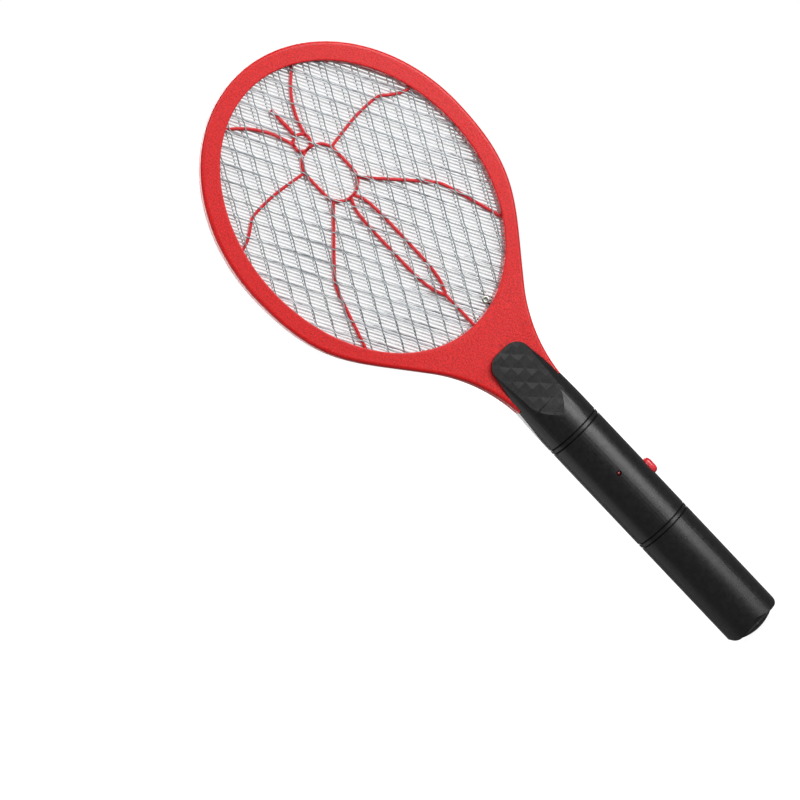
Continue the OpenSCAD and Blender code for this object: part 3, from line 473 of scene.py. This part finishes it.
NYLON = Finish("bobbin_nylon", tone(0.80, 0.76, 0.62), tone(0.92, 0.89, 0.78), (0.35, 0.5), patch=1.5 * MM,
               grain=0.2 * MM).material
CERAMIC = Finish("capacitor_coat", tone(0.52, 0.18, 0.10), tone(0.70, 0.30, 0.16), (0.3, 0.42), patch=1 * MM,
                 grain=0.3 * MM, relief=0.02 * MM).material
EPOXY = Finish("part_epoxy", tone(0.08, 0.08, 0.09), tone(0.15, 0.15, 0.16), (0.38, 0.5), patch=0.6 * MM,
               grain=0.1 * MM).material
RESISTOR = Finish("resistor_coat", tone(0.70, 0.58, 0.38), tone(0.84, 0.74, 0.54), (0.3, 0.45),
                  patch=0.6 * MM, grain=0.1 * MM).material
BLEED = Finish("bleed_coat", tone(0.28, 0.46, 0.64), tone(0.42, 0.62, 0.80), (0.3, 0.45), patch=0.6 * MM,
               grain=0.1 * MM).material


def sleeve(name, dark, light):
    """Soft wire sleeve."""
    return Finish(name, dark, light, (0.42, 0.55), patch=1.5 * MM, grain=0.25 * MM,
                  relief=0.008 * MM).material


WIRE_RED = sleeve("wire_red", tone(0.62, 0.05, 0.06), tone(0.80, 0.10, 0.10))
WIRE_BLACK = sleeve("wire_black", tone(0.05, 0.05, 0.055), tone(0.12, 0.12, 0.125))
WIRE_WHITE = sleeve("wire_white", tone(0.74, 0.72, 0.68), tone(0.88, 0.87, 0.83))


def winding():
    """Copper wire in fine turns, seen as a relief along Z."""
    made = Finish("winding_copper", tone(0.50, 0.24, 0.10), tone(0.78, 0.42, 0.20), (0.25, 0.4), metal=1.0,
                  patch=0.8 * MM, grain=0.1 * MM)
    parts = made.node("ShaderNodeSeparateXYZ")
    made.link(made.place, parts.inputs["Vector"])
    wire_r = 0.1 * MM
    turns = made.maths("PINGPONG", parts.outputs["Z"], wire_r)
    made.raised(made.maths("MULTIPLY", turns, 1 / wire_r), 0.04 * MM)
    return made.material


def cell_wrap(name, low, up):
    """Printed wrap of a cell: copper-coloured by the cap, dark below, bare metal at both ends."""
    made = Finish(name, tone(0.10, 0.10, 0.11), tone(0.15, 0.15, 0.16), (0.2, 0.3), patch=4 * MM,
                  grain=0.3 * MM, relief=0.004 * MM, coat=0.5)
    parts = made.node("ShaderNodeSeparateXYZ")
    made.link(made.place, parts.inputs["Vector"])
    z = parts.outputs["Z"]
    high = low + CELL_LEN * MM
    first, last = (low, high) if up else (high, low)
    way = made.ranged(z, first, last, 0.0, 1.0)
    band = 0.68
    copper = made.maths("GREATER_THAN", way, band)
    made.tinted(copper, tone(0.80, 0.50, 0.24))
    line = made.maths("LESS_THAN", made.maths("ABSOLUTE", made.maths("SUBTRACT", way, band)), 0.008)
    made.tinted(line, tone(0.92, 0.88, 0.76))
    ends = made.maths("GREATER_THAN", made.maths("ABSOLUTE", made.maths("SUBTRACT", way, 0.49)), 0.475)
    made.tinted(ends, tone(0.75, 0.76, 0.77))
    made.link(ends, made.shader.inputs["Metallic"])
    return made.material


# ------------------------------------------------------------------ the frame halves


def head_outline():
    """Half outlines joined: bottom line, hollow neck arc, straight flare, cubic side, quarter ellipse.

    Gives the closed outline (x, z), its outward normals, and the opening's angle that faces each point.
    """
    a = np.linspace(math.asin((SHOULDER_Z - NECK_CURVE_Z) / NECK_R), FLARE, 26)
    arc = np.stack([NECK_HALF_W + NECK_R * (1 - np.cos(a)), NECK_CURVE_Z + NECK_R * np.sin(a)], -1)
    end = arc[-1]
    flare_point = np.array([end[0] + (FLARE_Z - end[1]) * math.tan(FLARE), FLARE_Z])
    straight = end + np.linspace(0, 1, 5)[1:, None] * (flare_point - end)
    rise = WIDE_Z - FLARE_Z
    side = bezier([flare_point, flare_point + 0.34 * rise * np.array([math.tan(FLARE), 1]),
                   [HALF_W, WIDE_Z - 0.52 * rise], [HALF_W, WIDE_Z]], 34)[1:]
    t = np.linspace(0, math.pi / 2, 48)[1:]
    top = np.stack([HALF_W * np.cos(t), WIDE_Z + (TOP_Z - WIDE_Z) * np.sin(t)], -1)
    bottom = np.stack([np.linspace(0, arc[0, 0], 6), np.full(6, SHOULDER_Z)], -1)[:-1]
    flank = np.concatenate([arc, straight, side])
    along = np.concatenate([[0], np.cumsum(np.linalg.norm(np.diff(flank, axis=0), axis=1))])
    wide_t = math.asin((WIDE_Z - CENTRE_Z) / OPEN_B)
    faced = np.concatenate([np.radians(np.linspace(-90, -80, 6)[:-1]),
                            math.radians(-80) + (wide_t + math.radians(80)) * (along / along[-1]) ** 1.1,
                            wide_t + (math.pi / 2 - wide_t) * t / (math.pi / 2)])
    right = np.concatenate([bottom, flank, top])
    left = right[1:-1][::-1] * [-1, 1]
    outline = np.concatenate([right, left])
    faced = np.concatenate([faced, math.pi - faced[1:-1][::-1]])
    d = headings(outline, closed=True)
    return outline, np.stack([d[:, 1], -d[:, 0]], -1), faced


OUTLINE, OUTWARD, FACED = head_outline()


def half_thickness(z):
    """Half the head's thickness, which swells from the head to the neck."""
    high = OPEN_LOW_Z + 6 * MM
    t = np.clip((high - z) / (high - SWELL_Z), 0, 1)
    return HEAD_HALF_T + (NECK_HALF_T - HEAD_HALF_T) * t


def frame_half(name, side):
    """One half of the frame: a profile carried round between the opening and the outline.

    The profile runs from the pocket over the lip, the face and the rounded outer edge to the parting line.
    """
    def inner(grow):
        return np.stack([(OPEN_A + grow) * np.cos(FACED), CENTRE_Z + (OPEN_B + grow) * np.sin(FACED)], -1)

    def outer(inset):
        return OUTLINE - inset * OUTWARD

    rows = []

    def row(flat, depth=None, below=0.0):
        """Adds one line of the profile at a depth, or that far below the face."""
        reach = half_thickness(flat[:, 1]) - below if depth is None else np.full(len(flat), depth)
        rows.append(np.stack([flat[:, 0], side * reach, flat[:, 1]], -1))

    row(inner(SEAT_W), PARTING)
    row(inner(SEAT_W), POCKET_Y)
    row(inner(0.0), POCKET_Y)
    lip_w, edge_w = 0.6 * MM, 1.9 * MM
    for grow, below in ((0.0, 0.55), (0.08, 0.25), (0.28, 0.06), (0.6, 0.0)):
        row(inner(grow * MM), None, below * MM)
    first, last = inner(lip_w), outer(edge_w)
    for m in np.linspace(0, 1, 16)[1:]:
        row(first + m * (last - first))
    for inset, below in ((1.25, 0.12), (0.7, 0.45), (0.25, 1.0), (0.0, 1.8)):
        row(outer(inset * MM), None, below * MM)
    for inset, depth in ((0.0, 0.5), (0.06, 0.25), (0.3, 0.02)):
        row(outer(inset * MM), depth * MM)
    stock = Stock()
    stock.add(np.stack(rows, 1), wrap_u=True, wrap_v=True)
    section = rounded_box(TENON_HALF_W, PARTING, TENON_HALF_T, 0.4 * MM, 1.2 * MM, 4)
    heights = (head_low.z, head_low.z + 0.6 * MM, SHOULDER_Z + 1 * MM)
    spine = upright(np.array([[0.0, z] for z in heights]))
    across = np.tile([1.0, 0, 0], (3, 1))
    outwards = np.tile([0, float(side), 0], (3, 1))
    shrink = np.array([0.96, 1.0, 1.0])[:, None, None]
    offsets = section[None, :, :1] * across[:, None] + section[None, :, 1:] * outwards[:, None]
    stock.add(spine[:, None] + shrink * offsets)
    return stock.mesh(name, 50)


show(frame_half("frame_front_moulding", -1), "racket", "red_frame", RED, "front_frame")
show(frame_half("frame_back_moulding", 1), "racket", "red_frame", RED, "back_frame")

# ------------------------------------------------------------------ the metal layers


def inside(flat, grow):
    """Which points (x, z) lie within the opening grown by a margin."""
    return ((flat[..., 0] / (OPEN_A + grow)) ** 2 + ((flat[..., 1] - CENTRE_Z) / (OPEN_B + grow)) ** 2) < 1


def strand_mesh(name, spot, turn, mid_y):
    """Expanded metal: upright strands that zigzag and touch their neighbours at the knuckles.

    Across, a strand runs between two knuckle lines as a trapezium wave of its height; its flat section
    leans one way on rising stretches and the other way on falling ones.
    """
    width, thick = 0.74 * MM, 0.34 * MM
    inset = 0.36 * MM
    steps = 8
    stock = Stock()
    q = np.arange(-22 * steps, 44 * steps + 1) * (CELL_H / 2 / steps)
    s = q / (CELL_H / 2) + 1e-9
    part = s - np.floor(s)
    odd = np.floor(s).astype(int) % 2
    knuckle = 0.07
    rising = np.clip((part - knuckle) / (1 - 2 * knuckle), 0, 1)
    rising = rising - 0.03 * np.sin(2 * math.pi * rising)
    lean = np.sin(math.pi * part) ** 0.6
    cos, sin = math.cos(turn), math.sin(turn)
    section = rounded_box(width / 2, -thick / 2, thick / 2, 0.1 * MM, 0.1 * MM, 2)
    for k in range(-22, 18):
        up = odd == (k % 2)
        value = np.where(up, rising, 1 - rising)
        p = k * CELL_W / 2 + inset + value * (CELL_W / 2 - 2 * inset)
        path = np.stack([spot[0] + p * cos - q * sin, spot[1] + p * sin + q * cos], -1)
        tilt = np.where(up, math.radians(14), math.radians(-38)) * lean
        keep = inside(path, 4.3 * MM)
        marks = np.flatnonzero(np.diff(np.concatenate([[0], keep.astype(int), [0]])))
        for first, last in marks.reshape(-1, 2):
            if last - first < 4:
                continue
            piece = slice(first, last)
            d = headings(path[piece])
            side = upright(np.stack([d[:, 1], -d[:, 0]], -1))
            front = np.broadcast_to(np.array([0.0, -1.0, 0.0]), side.shape)
            t = tilt[piece][:, None]
            wide = side * np.cos(t) + front * np.sin(t)
            thin = front * np.cos(t) - side * np.sin(t)
            shade = 0.5 + 0.5 * math.sin(k * 12.9898)
            stock.add(swept(upright(path[piece], mid_y), wide, thin, section), shade=shade)
    band = rounded_box(0.6 * MM, -0.3 * MM, 0.3 * MM, 0.1 * MM, 0.1 * MM, 2)
    ring = flat_sweep(ellipse(4.1 * MM, 160), band, closed=True) + np.array([0, mid_y, 0])
    stock.add(ring, wrap_u=True)
    pad = np.array([[1.45, -0.3], [1.45, 0.3], [2.15, 0.3], [2.3, 0.15], [2.3, -0.15], [2.15, -0.3]]) * MM
    stock.add(revolved(pad, 28, (spot[0], mid_y, spot[1]), "y").transpose(1, 0, 2), wrap_u=True)
    return stock.mesh(name, 50)


show(strand_mesh("outer_mesh_front", FRONT_EYELET, 0.0, -MESH_MID_Y), "racket", "mesh_metal", STRAND,
     "front_mesh")
show(strand_mesh("outer_mesh_back", BACK_EYELET, BACK_TURN, MESH_MID_Y), "racket", "mesh_metal", STRAND,
     "back_mesh")


def strip_grid(name):
    """Parallel strips that lean from the axis, cut off at an ellipse, in an edge band with a solder tab."""
    pitch, width, lean = 1.9 * MM, 1.1 * MM, math.radians(28)
    u = np.array([-math.sin(lean), math.cos(lean)])
    v = np.array([math.cos(lean), math.sin(lean)])
    a, b = OPEN_A + 3.6 * MM, OPEN_B + 3.6 * MM
    section = rounded_box(width / 2, -GRID_HALF_T, GRID_HALF_T, 0.14 * MM, 0.14 * MM, 2)
    stock = Stock()
    reach = math.hypot(a * v[0], b * v[1])
    count = int(reach / pitch) + 1
    # A strip's ends are the roots of qa * s * s + 2 * qb * s + qc, s being the way along it.
    qa = (u[0] / a) ** 2 + (u[1] / b) ** 2
    for i in range(-count, count):
        c = (i + 0.5) * pitch
        qb = c * (u[0] * v[0] / a ** 2 + u[1] * v[1] / b ** 2)
        qc = c * c * ((v[0] / a) ** 2 + (v[1] / b) ** 2) - 1
        root = qb * qb - qa * qc
        if root <= 1e-6:
            continue
        ends = np.array([-1.0, 1.0])[:, None] * math.sqrt(root)
        path = c * v + (-qb + ends) / qa * u + np.array([0, CENTRE_Z])
        stock.add(flat_sweep(path, section), shade=0.5 + 0.5 * math.sin(i * 78.233))
    band = rounded_box(0.75 * MM, -GRID_HALF_T, GRID_HALF_T, 0.1 * MM, 0.1 * MM, 2)
    stock.add(flat_sweep(ellipse(3.95 * MM, 160), band, closed=True), wrap_u=True)
    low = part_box("middle_grid")[0].z
    tab = rounded_box(2 * MM, -GRID_HALF_T, GRID_HALF_T, 0.1 * MM, 0.1 * MM, 2)
    stock.add(flat_sweep(np.array([[0.0, low], [0.0, low + 8 * MM]]), tab))
    return stock.mesh(name, 50)


show(strip_grid("live_grid"), "racket", "grid_metal", STRIP, "middle_grid")

# ------------------------------------------------------------------ the rib guards


def share(x, z):
    """A point given as shares of the opening's half width and half height."""
    return np.array([x * OPEN_A, CENTRE_Z + z * OPEN_B])


def mirrored(path):
    """The same path on the other side of the head."""
    return path * np.array([-1, 1])


def rib_guard(name, side, notch_x):
    """Ribs with rounded fronts: a round, a long loop, a leaf on a stem and bent arms, in an edge ring."""
    stock = Stock()
    rib = rounded_box(RIB_W / 2, GUARD_Y0, GUARD_Y1, 0.12 * MM, 0.5 * MM, 4)
    small_r, small_z = 5.2 * MM, share(0, 0.545)[1]
    t = np.linspace(0, 2 * math.pi, 48, endpoint=False)
    small = np.stack([small_r * np.cos(t), small_z + small_r * np.sin(t)], -1)
    stock.add(flat_sweep(small, rib, True), wrap_u=True)
    loop_r = 0.155 * OPEN_A
    loop_z0 = share(0, 0.095)[1] + loop_r
    loop_z1 = small_z - small_r - loop_r
    h = np.linspace(0, math.pi, 25)
    loop = np.concatenate([np.stack([loop_r * np.cos(h), loop_z1 + loop_r * np.sin(h)], -1),
                           np.stack([-loop_r * np.cos(h), loop_z0 - loop_r * np.sin(h)], -1)])
    stock.add(flat_sweep(loop, rib, True), wrap_u=True)
    arms = [
        eased([share(0.15, 0.40), share(0.46, 0.435), share(0.71, 0.43), share(0.78, 0.385),
               share(0.88, 0.335), share(1.02, 0.31)]),
        eased([share(0.13, 0.16), share(0.575, -0.20), share(0.62, -0.27), share(0.78, -0.66)]),
        bezier([share(0.06, 0.55), share(0.10, 0.72), share(0.22, 0.85), share(0.42, 0.95)], 20),
        eased([share(0.012, 0.10), share(0.072, 0), share(0.072, -0.53), share(0.05, -0.66),
               share(0.006, -0.74)]),
    ]
    for arm in arms:
        stock.add(flat_sweep(arm, rib))
        stock.add(flat_sweep(mirrored(arm), rib))
    stock.add(flat_sweep(np.stack([share(0, -0.72), share(0, -1.02)]), rib))
    spike = rounded_box(RIB_W * 0.6, GUARD_Y0, GUARD_Y1, 0.12 * MM, 0.6 * MM, 4)
    stock.add(flat_sweep(np.stack([[0, small_z + 5 * MM], share(0, 0.82)]), spike))
    band = rounded_box(2.2 * MM, GUARD_Y0, GUARD_Y1, 0.15 * MM, 0.3 * MM, 2)
    notch = -math.acos(notch_x / OPEN_A)
    gap = 1.6 * MM / OPEN_A
    stock.add(flat_sweep(ellipse(2.5 * MM, 200, notch + gap, notch + 2 * math.pi - gap - 0.003), band))
    for points in stock.points:                   # the sections above rise towards the front
        points[:, 1] *= -side
    return stock.mesh(name, 50)


show(rib_guard("front_ribs", -1, FRONT_EYELET[0]), "racket", "red_ribs", RED_RIBS, "front_rib_guard")
show(rib_guard("back_ribs", 1, BACK_EYELET[0]), "racket", "red_ribs", RED_RIBS, "back_rib_guard")


def eyelets(name):
    """Two rolled eyelets: a closed profile turned about an axis through each outer mesh."""
    profile = np.array([[0.8, 0.35], [0.8, -0.75], [0.95, -1.02], [1.35, -1.15], [1.9, -1.12], [2.25, -1.0],
                        [2.4, -0.86], [2.3, -0.80], [1.35, -0.80], [1.35, 0.0], [2.0, 0.0], [2.1, 0.12],
                        [1.95, 0.3], [1.4, 0.35], [1.0, 0.40]]) * MM
    stock = Stock()
    for spot, side in ((FRONT_EYELET, 1), (BACK_EYELET, -1)):
        turned = profile * [1, side] + [0, -side * GUARD_Y1]
        stock.add(revolved(turned, 32, (spot[0], 0, spot[1]), "y").transpose(1, 0, 2), wrap_u=True)
    return stock.mesh(name, 40)


show(eyelets("rolled_eyelets"), "racket", "eyelet_metal", EYELET, "mesh_eyelets")

# ------------------------------------------------------------------ handle, cover, button and lamp


def skin_map(piece):
    """Lays a map over a shell: the way round its oval section, and the height.

    The way round is the arc length of the ellipse up to the angle at which a point lies.
    """
    mesh = piece.data
    co = np.zeros(len(mesh.vertices) * 3, np.float32)
    mesh.vertices.foreach_get("co", co)
    co = co.reshape(-1, 3)
    half_w, half_t = shell_high.x, -shell_low.y
    steps = np.linspace(0, math.pi / 2, 200)
    pace = np.sqrt((half_w * np.cos(steps)) ** 2 + (half_t * np.sin(steps)) ** 2)
    length = np.concatenate([[0], np.cumsum((pace[1:] + pace[:-1]) / 2 * np.diff(steps))])
    angle = np.arctan2(np.abs(co[:, 0]) / half_w, np.abs(co[:, 1]) / half_t)
    girth = np.sign(co[:, 0]) * np.interp(angle, steps, length)
    index = np.zeros(len(mesh.loops), np.int32)
    mesh.loops.foreach_get("vertex_index", index)
    layer = mesh.uv_layers.new(name="skin")
    layer.data.foreach_set("uv", np.stack([girth, co[:, 2]], -1)[index].astype(np.float32).ravel())
    return piece


skin_map(softened("handle_front_shell", "racket", "black_shell", BLACK, 0.3 * MM, smooth=9.5))
skin_map(softened("handle_back_shell", "racket", "black_shell", BLACK, 0.3 * MM, smooth=9.5))
skin_map(softened("battery_cover", "cover", "black_shell", BLACK, 0.25 * MM, smooth=9.5))


def button(name):
    """A bar with round ends and a domed face: its outline shrinks along a quarter circle, then a crown."""
    low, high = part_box("push_button")
    half_w = (high.y - low.y) / 2
    mid_z = (high.z + low.z) / 2
    flange_l = (high.z - low.z) / 2
    flange_t, flange_round = 2 * MM, 0.2 * MM
    length = 5.5 * MM
    crown, dome_h, dome_w = 0.4 * MM, 2.5 * MM, 2.0 * MM
    t = np.linspace(0, 2 * math.pi, 64, endpoint=False)

    def ring(x, inset, half_l=length):
        r = max(half_w - inset, 1e-6)
        d = half_l - half_w
        z = np.where(np.sin(t) >= 0, d, -d) + r * np.sin(t)
        return np.stack([np.full(64, x), r * np.cos(t), mid_z + z], -1)

    edge = high.x - crown
    bend = np.linspace(0, math.pi / 2, 7)
    flange_x = low.x + flange_t
    rows = [ring(low.x, flange_round, flange_l), ring(low.x + flange_round, 0, flange_l),
            ring(flange_x - flange_round, 0, flange_l), ring(flange_x, flange_round, flange_l),
            ring(flange_x, 0.0), ring(edge - dome_h, 0.0)]
    rows += [ring(edge - dome_h * (1 - math.sin(a)), dome_w * (1 - math.cos(a))) for a in bend[1:]]
    rows += [ring(edge + crown * (1 - (1 - m) ** 2), dome_w + m * 1.5 * MM)
             for m in np.linspace(0, 1, 8)[1:]]
    stock = Stock()
    stock.add(np.stack(rows))
    return stock.mesh(name, 40, 2e-6)


show(button("oval_button"), "button", "button_red", BUTTON, "push_button")


def lamp(name):
    """A lens dome on a barrel with a foot flange, and its two pins."""
    low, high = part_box("indicator_lamp")
    mid_z, r = (low.z + high.z) / 2, 1.5 * MM
    a = np.linspace(0, math.pi / 2, 10)
    dome = np.stack([r * np.sin(a) + 1e-6, low.y + r - r * np.cos(a)], -1)
    barrel = np.array([[r, low.y + 4.0 * MM], [r, low.y + 5.0 * MM], [r + 0.4 * MM, low.y + 5.1 * MM],
                       [r + 0.4 * MM, low.y + 5.8 * MM], [1.2 * MM, low.y + 5.95 * MM]])
    stock = Stock()
    stock.add(revolved(np.concatenate([dome, barrel]), 32, (0, 0, mid_z), "y"))
    for x in (-1.0 * MM, 1.0 * MM):
        path = np.array([[x, low.y + 5.5 * MM, mid_z], [x, high.y, mid_z]])
        stock.add(tube(path, 0.28 * MM, 8))
    return stock.mesh(name, 40)


show(lamp("signal_lamp"), "racket", "lamp_red", LAMP, "indicator_lamp")
softened("neck_screws", "racket", "screw_steel", SCREW, 0.12 * MM)
softened("handle_screws", "racket", "screw_steel", SCREW, 0.12 * MM)

# ------------------------------------------------------------------ cells and contacts


def cell(name, node, up):
    """A cell turned from its profile: rolled lower edge, wrapped body, stepped shoulder and cap."""
    low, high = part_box(node)
    x = (low.x + high.x) / 2
    r = CELL_R
    profile = np.array([[0.01, 0.0], [4.6, 0.0], [4.9, 0.12], [5.4, 0.12], [r - 0.7, 0.0], [r - 0.2, 0.15],
                        [r, 0.6], [r, 1.2], [r - 0.03, 1.3], [r - 0.03, 48.0], [r, 48.1], [r, 48.9],
                        [r - 0.25, 49.3], [r - 0.8, 49.5], [4.6, 49.5], [4.3, 49.3], [3.2, 49.3],
                        [2.9, 49.42], [2.75, 49.6], [2.75, CELL_LEN - 0.25], [2.5, CELL_LEN],
                        [0.01, CELL_LEN]]) * MM
    if not up:
        profile = profile * [1, -1] + [0, CELL_LEN * MM]
    stock = Stock()
    stock.add(revolved(profile, 56, (x, 0, low.z), "z"))
    return show(stock.mesh(name, 40), "racket", "cell_wrap", cell_wrap(name + "_wrap", low.z, up), node)


cell("left_cell", "cell_left", True)
cell("right_cell", "cell_right", False)


def springs(name):
    """Two tapered coils: radius and height run evenly from the wide end to the narrow one."""
    stock = Stock()
    turns, wire, length = 4, 0.4 * MM, 8.6 * MM
    t = np.linspace(0, 1, turns * 28 + 1)
    r = (4.2 - 1.4 * t) * MM
    rise = wire + (length - 2 * wire) * t
    a = 2 * math.pi * turns * t
    left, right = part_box("cell_left"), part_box("cell_right")
    for x, z in (((left[0].x + left[1].x) / 2, left[0].z - length + rise),
                 ((right[0].x + right[1].x) / 2, right[1].z + length - rise)):
        stock.add(tube(np.stack([x + r * np.cos(a), r * np.sin(a), z], -1), wire, 8))
    return stock.mesh(name, 60)


show(springs("coil_springs"), "racket", "contact_metal", SPRING, "cell_springs")
for part in ("cell_bridge", "positive_contact", "negative_contact"):
    softened(part, "racket", "contact_metal", CONTACT, 0.1 * MM)

# ------------------------------------------------------------------ switch, board and leads

softened("switch_body", "racket", "black_parts", SWITCH, 0.25 * MM)
softened("switch_plunger", "plunger", "plunger_cream", PLUNGER, 0.2 * MM)
softened("circuit_board", "racket", "board_green", BOARD, 0.1 * MM)
softened("transformer_core", "racket", "ferrite", FERRITE, 0.3 * MM)
softened("transformer_bobbin", "racket", "bobbin_nylon", NYLON, 0.12 * MM)
softened("transformer_winding", "racket", "winding_copper", winding(), 0.2 * MM)
softened("storage_capacitor", "racket", "capacitor_coat", CERAMIC, 1.2 * MM, 4)
softened("multiplier_capacitors", "racket", "capacitor_coat", CERAMIC, 0.8 * MM, 4)
softened("rectifier_diodes", "racket", "black_parts", EPOXY, 0.15 * MM)
softened("transistor", "racket", "black_parts", EPOXY, 0.15 * MM)
softened("board_resistors", "racket", "resistor_coat", RESISTOR, 0.15 * MM)
softened("bleed_resistor", "racket", "bleed_coat", BLEED, 0.15 * MM)


def lead(node, slot, finish):
    """A lead's own eight-sided tube, rounded by subdivision."""
    piece = softened(node, "racket", slot, finish, 0, smooth=80)
    rounding = piece.modifiers.new("rounding", "SUBSURF")
    rounding.levels = 2
    rounding.render_levels = 2


lead("positive_lead", "wire_red", WIRE_RED)
lead("negative_lead", "wire_black", WIRE_BLACK)
lead("high_voltage_lead", "wire_white", WIRE_WHITE)
lead("front_mesh_lead", "wire_black", WIRE_BLACK)
lead("back_mesh_lead", "wire_black", WIRE_BLACK)

# ------------------------------------------------------------------ stage, light and camera


def pale(name, colour, glow):
    """Pale matt paper that glows a little, with a faint mottle."""
    made = Finish(name, tone(*[c - 0.01 for c in colour]), tone(*colour), (0.8, 0.9), patch=0.4, grain=0.05,
                  relief=0.0001)
    made.shader.inputs["Specular IOR Level"].default_value = 0.0
    made.shader.inputs["Emission Color"].default_value = (1, 1, 1, 1)
    made.shader.inputs["Emission Strength"].default_value = glow
    return made.material


def stage_bowl():
    """A floor that curves up into a wall all round, with a quarter circle between the two."""
    flat, bend, wall = 2.2, 1.2, 3.0
    a = np.linspace(0, math.pi / 2, 16)
    profile = np.concatenate([[[0.001, 0.0], [flat, 0.0]],
                              np.stack([flat + bend * np.sin(a[1:]), bend * (1 - np.cos(a[1:]))], -1),
                              [[flat + bend, bend + wall]]])
    points = revolved(profile, 96, (0, 0, cad_box[0].z - 0.0002), "z")
    stock = Stock()
    stock.points.append(points.reshape(-1, 3))
    stock.quads.append(grid_faces(len(profile), 96, 0, False, True))
    stock.shades.append(np.full(len(profile) * 96, 0.5))
    mesh = stock.mesh("floor_and_wall", 60)
    bowl = bpy.data.objects.new("floor_and_wall", mesh)
    bpy.context.scene.collection.objects.link(bowl)
    mesh.materials.append(pale("stage_paper", (0.55, 0.55, 0.55), 0.93))
    bowl.visible_glossy = False
    bowl.visible_diffuse = False
    bowl.visible_shadow = False


stage_bowl()


def softbox(name, place, target, size, power):
    """A soft white light, wide by high, that faces a point."""
    lamp_data = bpy.data.lights.new(name, "AREA")
    lamp_data.shape = "RECTANGLE"
    lamp_data.size, lamp_data.size_y = size
    lamp_data.energy = power
    box = bpy.data.objects.new(name, lamp_data)
    box.location = place
    box.rotation_euler = (Vector(target) - Vector(place)).to_track_quat("-Z", "Y").to_euler()
    bpy.context.scene.collection.objects.link(box)


middle = (0, 0, 0.24)
softbox("wide_light", (0.75, -1.45, 0.60), middle, (1.1, 1.8), 6)
softbox("key_light", (1.08, -1.22, 0.50), middle, (0.85, 1.6), 22)
softbox("fill_light", (-1.6, 0.25, 0.35), middle, (1.6, 1.2), 5)
softbox("high_light", (-0.3, -1.0, 1.9), middle, (1.2, 1.0), 12)
softbox("back_light", (0.45, 1.7, 1.0), middle, (1.4, 1.0), 17)
softbox("back_fill", (-0.55, 1.7, 0.5), middle, (1.0, 1.2), 9)

world = bpy.data.worlds.new("studio")
bpy.context.scene.world = world
world.use_nodes = True
world.node_tree.nodes["Background"].inputs["Color"].default_value = (1, 1, 1, 1)
world.node_tree.nodes["Background"].inputs["Strength"].default_value = 0.20


def place_camera():
    """Looks at a point of the head's plane from a little above and from the left, rolled to the diagonal."""
    aim = Vector((-0.0635, 0, 0.2532))
    distance, width = 2.2, 0.47845
    azimuth, elevation = math.radians(7.7), math.radians(7.0)
    back = Vector((-math.sin(azimuth) * math.cos(elevation), -math.cos(azimuth) * math.cos(elevation),
                   math.sin(elevation)))
    right = Vector((0.7189, 0, -0.6952))
    right = (right - right.dot(back) * back).normalized()
    up = back.cross(right)
    data = bpy.data.cameras.new("camera")
    data.sensor_width = 36
    data.lens = 36 * distance / width
    data.clip_end = 50
    camera = bpy.data.objects.new("camera", data)
    spot = aim + distance * back
    camera.matrix_world = Matrix(((right.x, up.x, back.x, spot.x), (right.y, up.y, back.y, spot.y),
                                  (right.z, up.z, back.z, spot.z), (0, 0, 0, 1)))
    bpy.context.scene.collection.objects.link(camera)
    bpy.context.scene.camera = camera


place_camera()
bpy.context.scene.view_settings.view_transform = "Standard"
